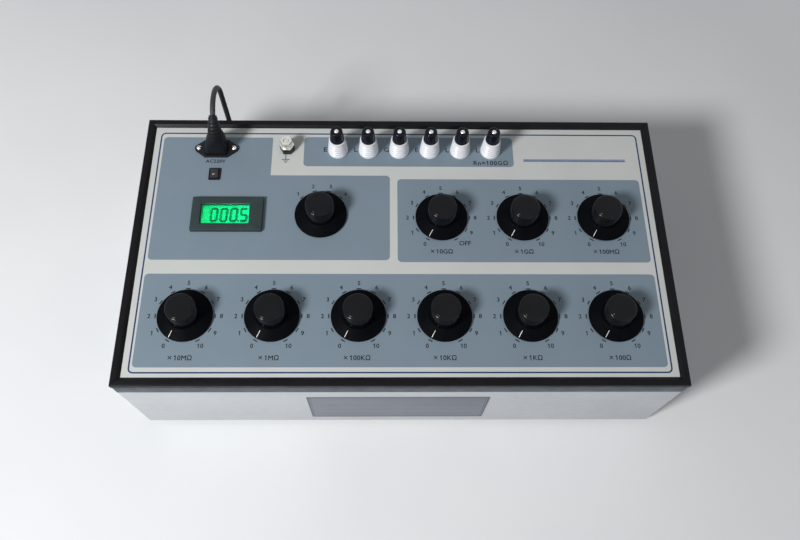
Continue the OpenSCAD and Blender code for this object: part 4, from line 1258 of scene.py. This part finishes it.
STAYING = {
    "base_plate": BASE_COAT, "rubber_feet": FOOT_RUBBER, "panel_plate": PANEL_PAINT,
    "meter_window": WINDOW_CLEAR, "meter_module": MODULE_AND_SHADE_BLACK, "terminal_studs": NICKEL,
    "earth_washer": NICKEL, "switch_bodies": WAFER_BROWN, "bushing_nuts": NICKEL,
    "resistor_boards": BOARD_GREEN, "power_board": BOARD_GREEN, "selector_shaft": BRASS,
}
STAYING.update({f"dial_shaft_{number}": BRASS for number in range(1, 10)})
STAYING.update({f"terminal_washer_{number}": NICKEL for number in range(1, 7)})
for name, material in STAYING.items():
    nodes[name].data.materials.clear()
    nodes[name].data.materials.append(material)


# Floor and light

def background_rays(tree):
    """One for rays that show the background: from the camera, off gloss or through glass."""
    path = tree.nodes.new("ShaderNodeLightPath")
    seen = path.outputs["Is Camera Ray"]
    for kind in ("Is Glossy Ray", "Is Transmission Ray"):
        either = tree.nodes.new("ShaderNodeMath")
        either.operation = "MAXIMUM"
        seen = feed_all(either, {0: seen, 1: path.outputs[kind]})
    return seen


def fade_far(made, near, far):
    """Lets a floor turn into an even pale background between two distances from the object."""
    reach = made.node("ShaderNodeVectorMath")
    reach.operation = "LENGTH"
    feed_all(reach, {0: made.place})
    fade = made.node("ShaderNodeMapRange", Value=reach.outputs["Value"], From_Min=near, From_Max=far)
    fade.interpolation_type = "SMOOTHSTEP"
    share = made.node("ShaderNodeMath")
    share.operation = "MULTIPLY"
    far_share = feed_all(share, {0: fade.outputs["Result"], 1: background_rays(made.tree)})
    pale = made.node("ShaderNodeEmission", Color=(0.79, 0.8, 0.82, 1.0))
    blend = made.node("ShaderNodeMixShader")
    surface = feed_all(blend, {0: far_share, 1: made.shader.outputs[0], 2: pale.outputs[0]})
    fill(made.tree.nodes["Material Output"], Surface=surface)


def plain_floor():
    made = Finish("floor_pale", specular=0.2)
    made.colour(made.between(made.noise(400, 3), srgb(222, 224, 226), srgb(228, 229, 230)))
    made.rough(made.noise(200), 0.75, 0.85)
    fade_far(made, 0.6, 2.0)
    bm = bmesh.new()
    bmesh.ops.create_grid(bm, x_segments=1, y_segments=1, size=8.0)
    shown("studio_floor", bm, made.material)


def soft_lamp(name, place, size, watts):
    """Round lamp that shines on the middle of the object."""
    aim = (0, 0, 0.1)
    lamp = bpy.data.lights.new(name, "AREA")
    lamp.shape = "DISK"
    lamp.size = size
    lamp.energy = watts
    made = placed(name, lamp)
    made.location = place
    made.rotation_euler = (Vector(aim) - Vector(place)).to_track_quat("-Z", "Y").to_euler()


def studio_light():
    world = bpy.data.worlds.new("studio")
    world.use_nodes = True
    tree = world.node_tree
    strength = fill(tree.nodes.new("ShaderNodeMapRange"), To_Min=0.23, To_Max=0.85)
    fill(strength, Value=background_rays(tree))
    fill(tree.nodes["Background"], Color=(0.97, 0.98, 1.0, 1.0), Strength=strength.outputs["Result"])
    scene.world = world
    soft_lamp("key_lamp", (-1.2, -0.95, 1.5), 0.45, 40)
    soft_lamp("fill_lamp", (1.3, -1.2, 1.5), 1.2, 2)


plain_floor()
studio_light()
scene.view_settings.view_transform = "Standard"
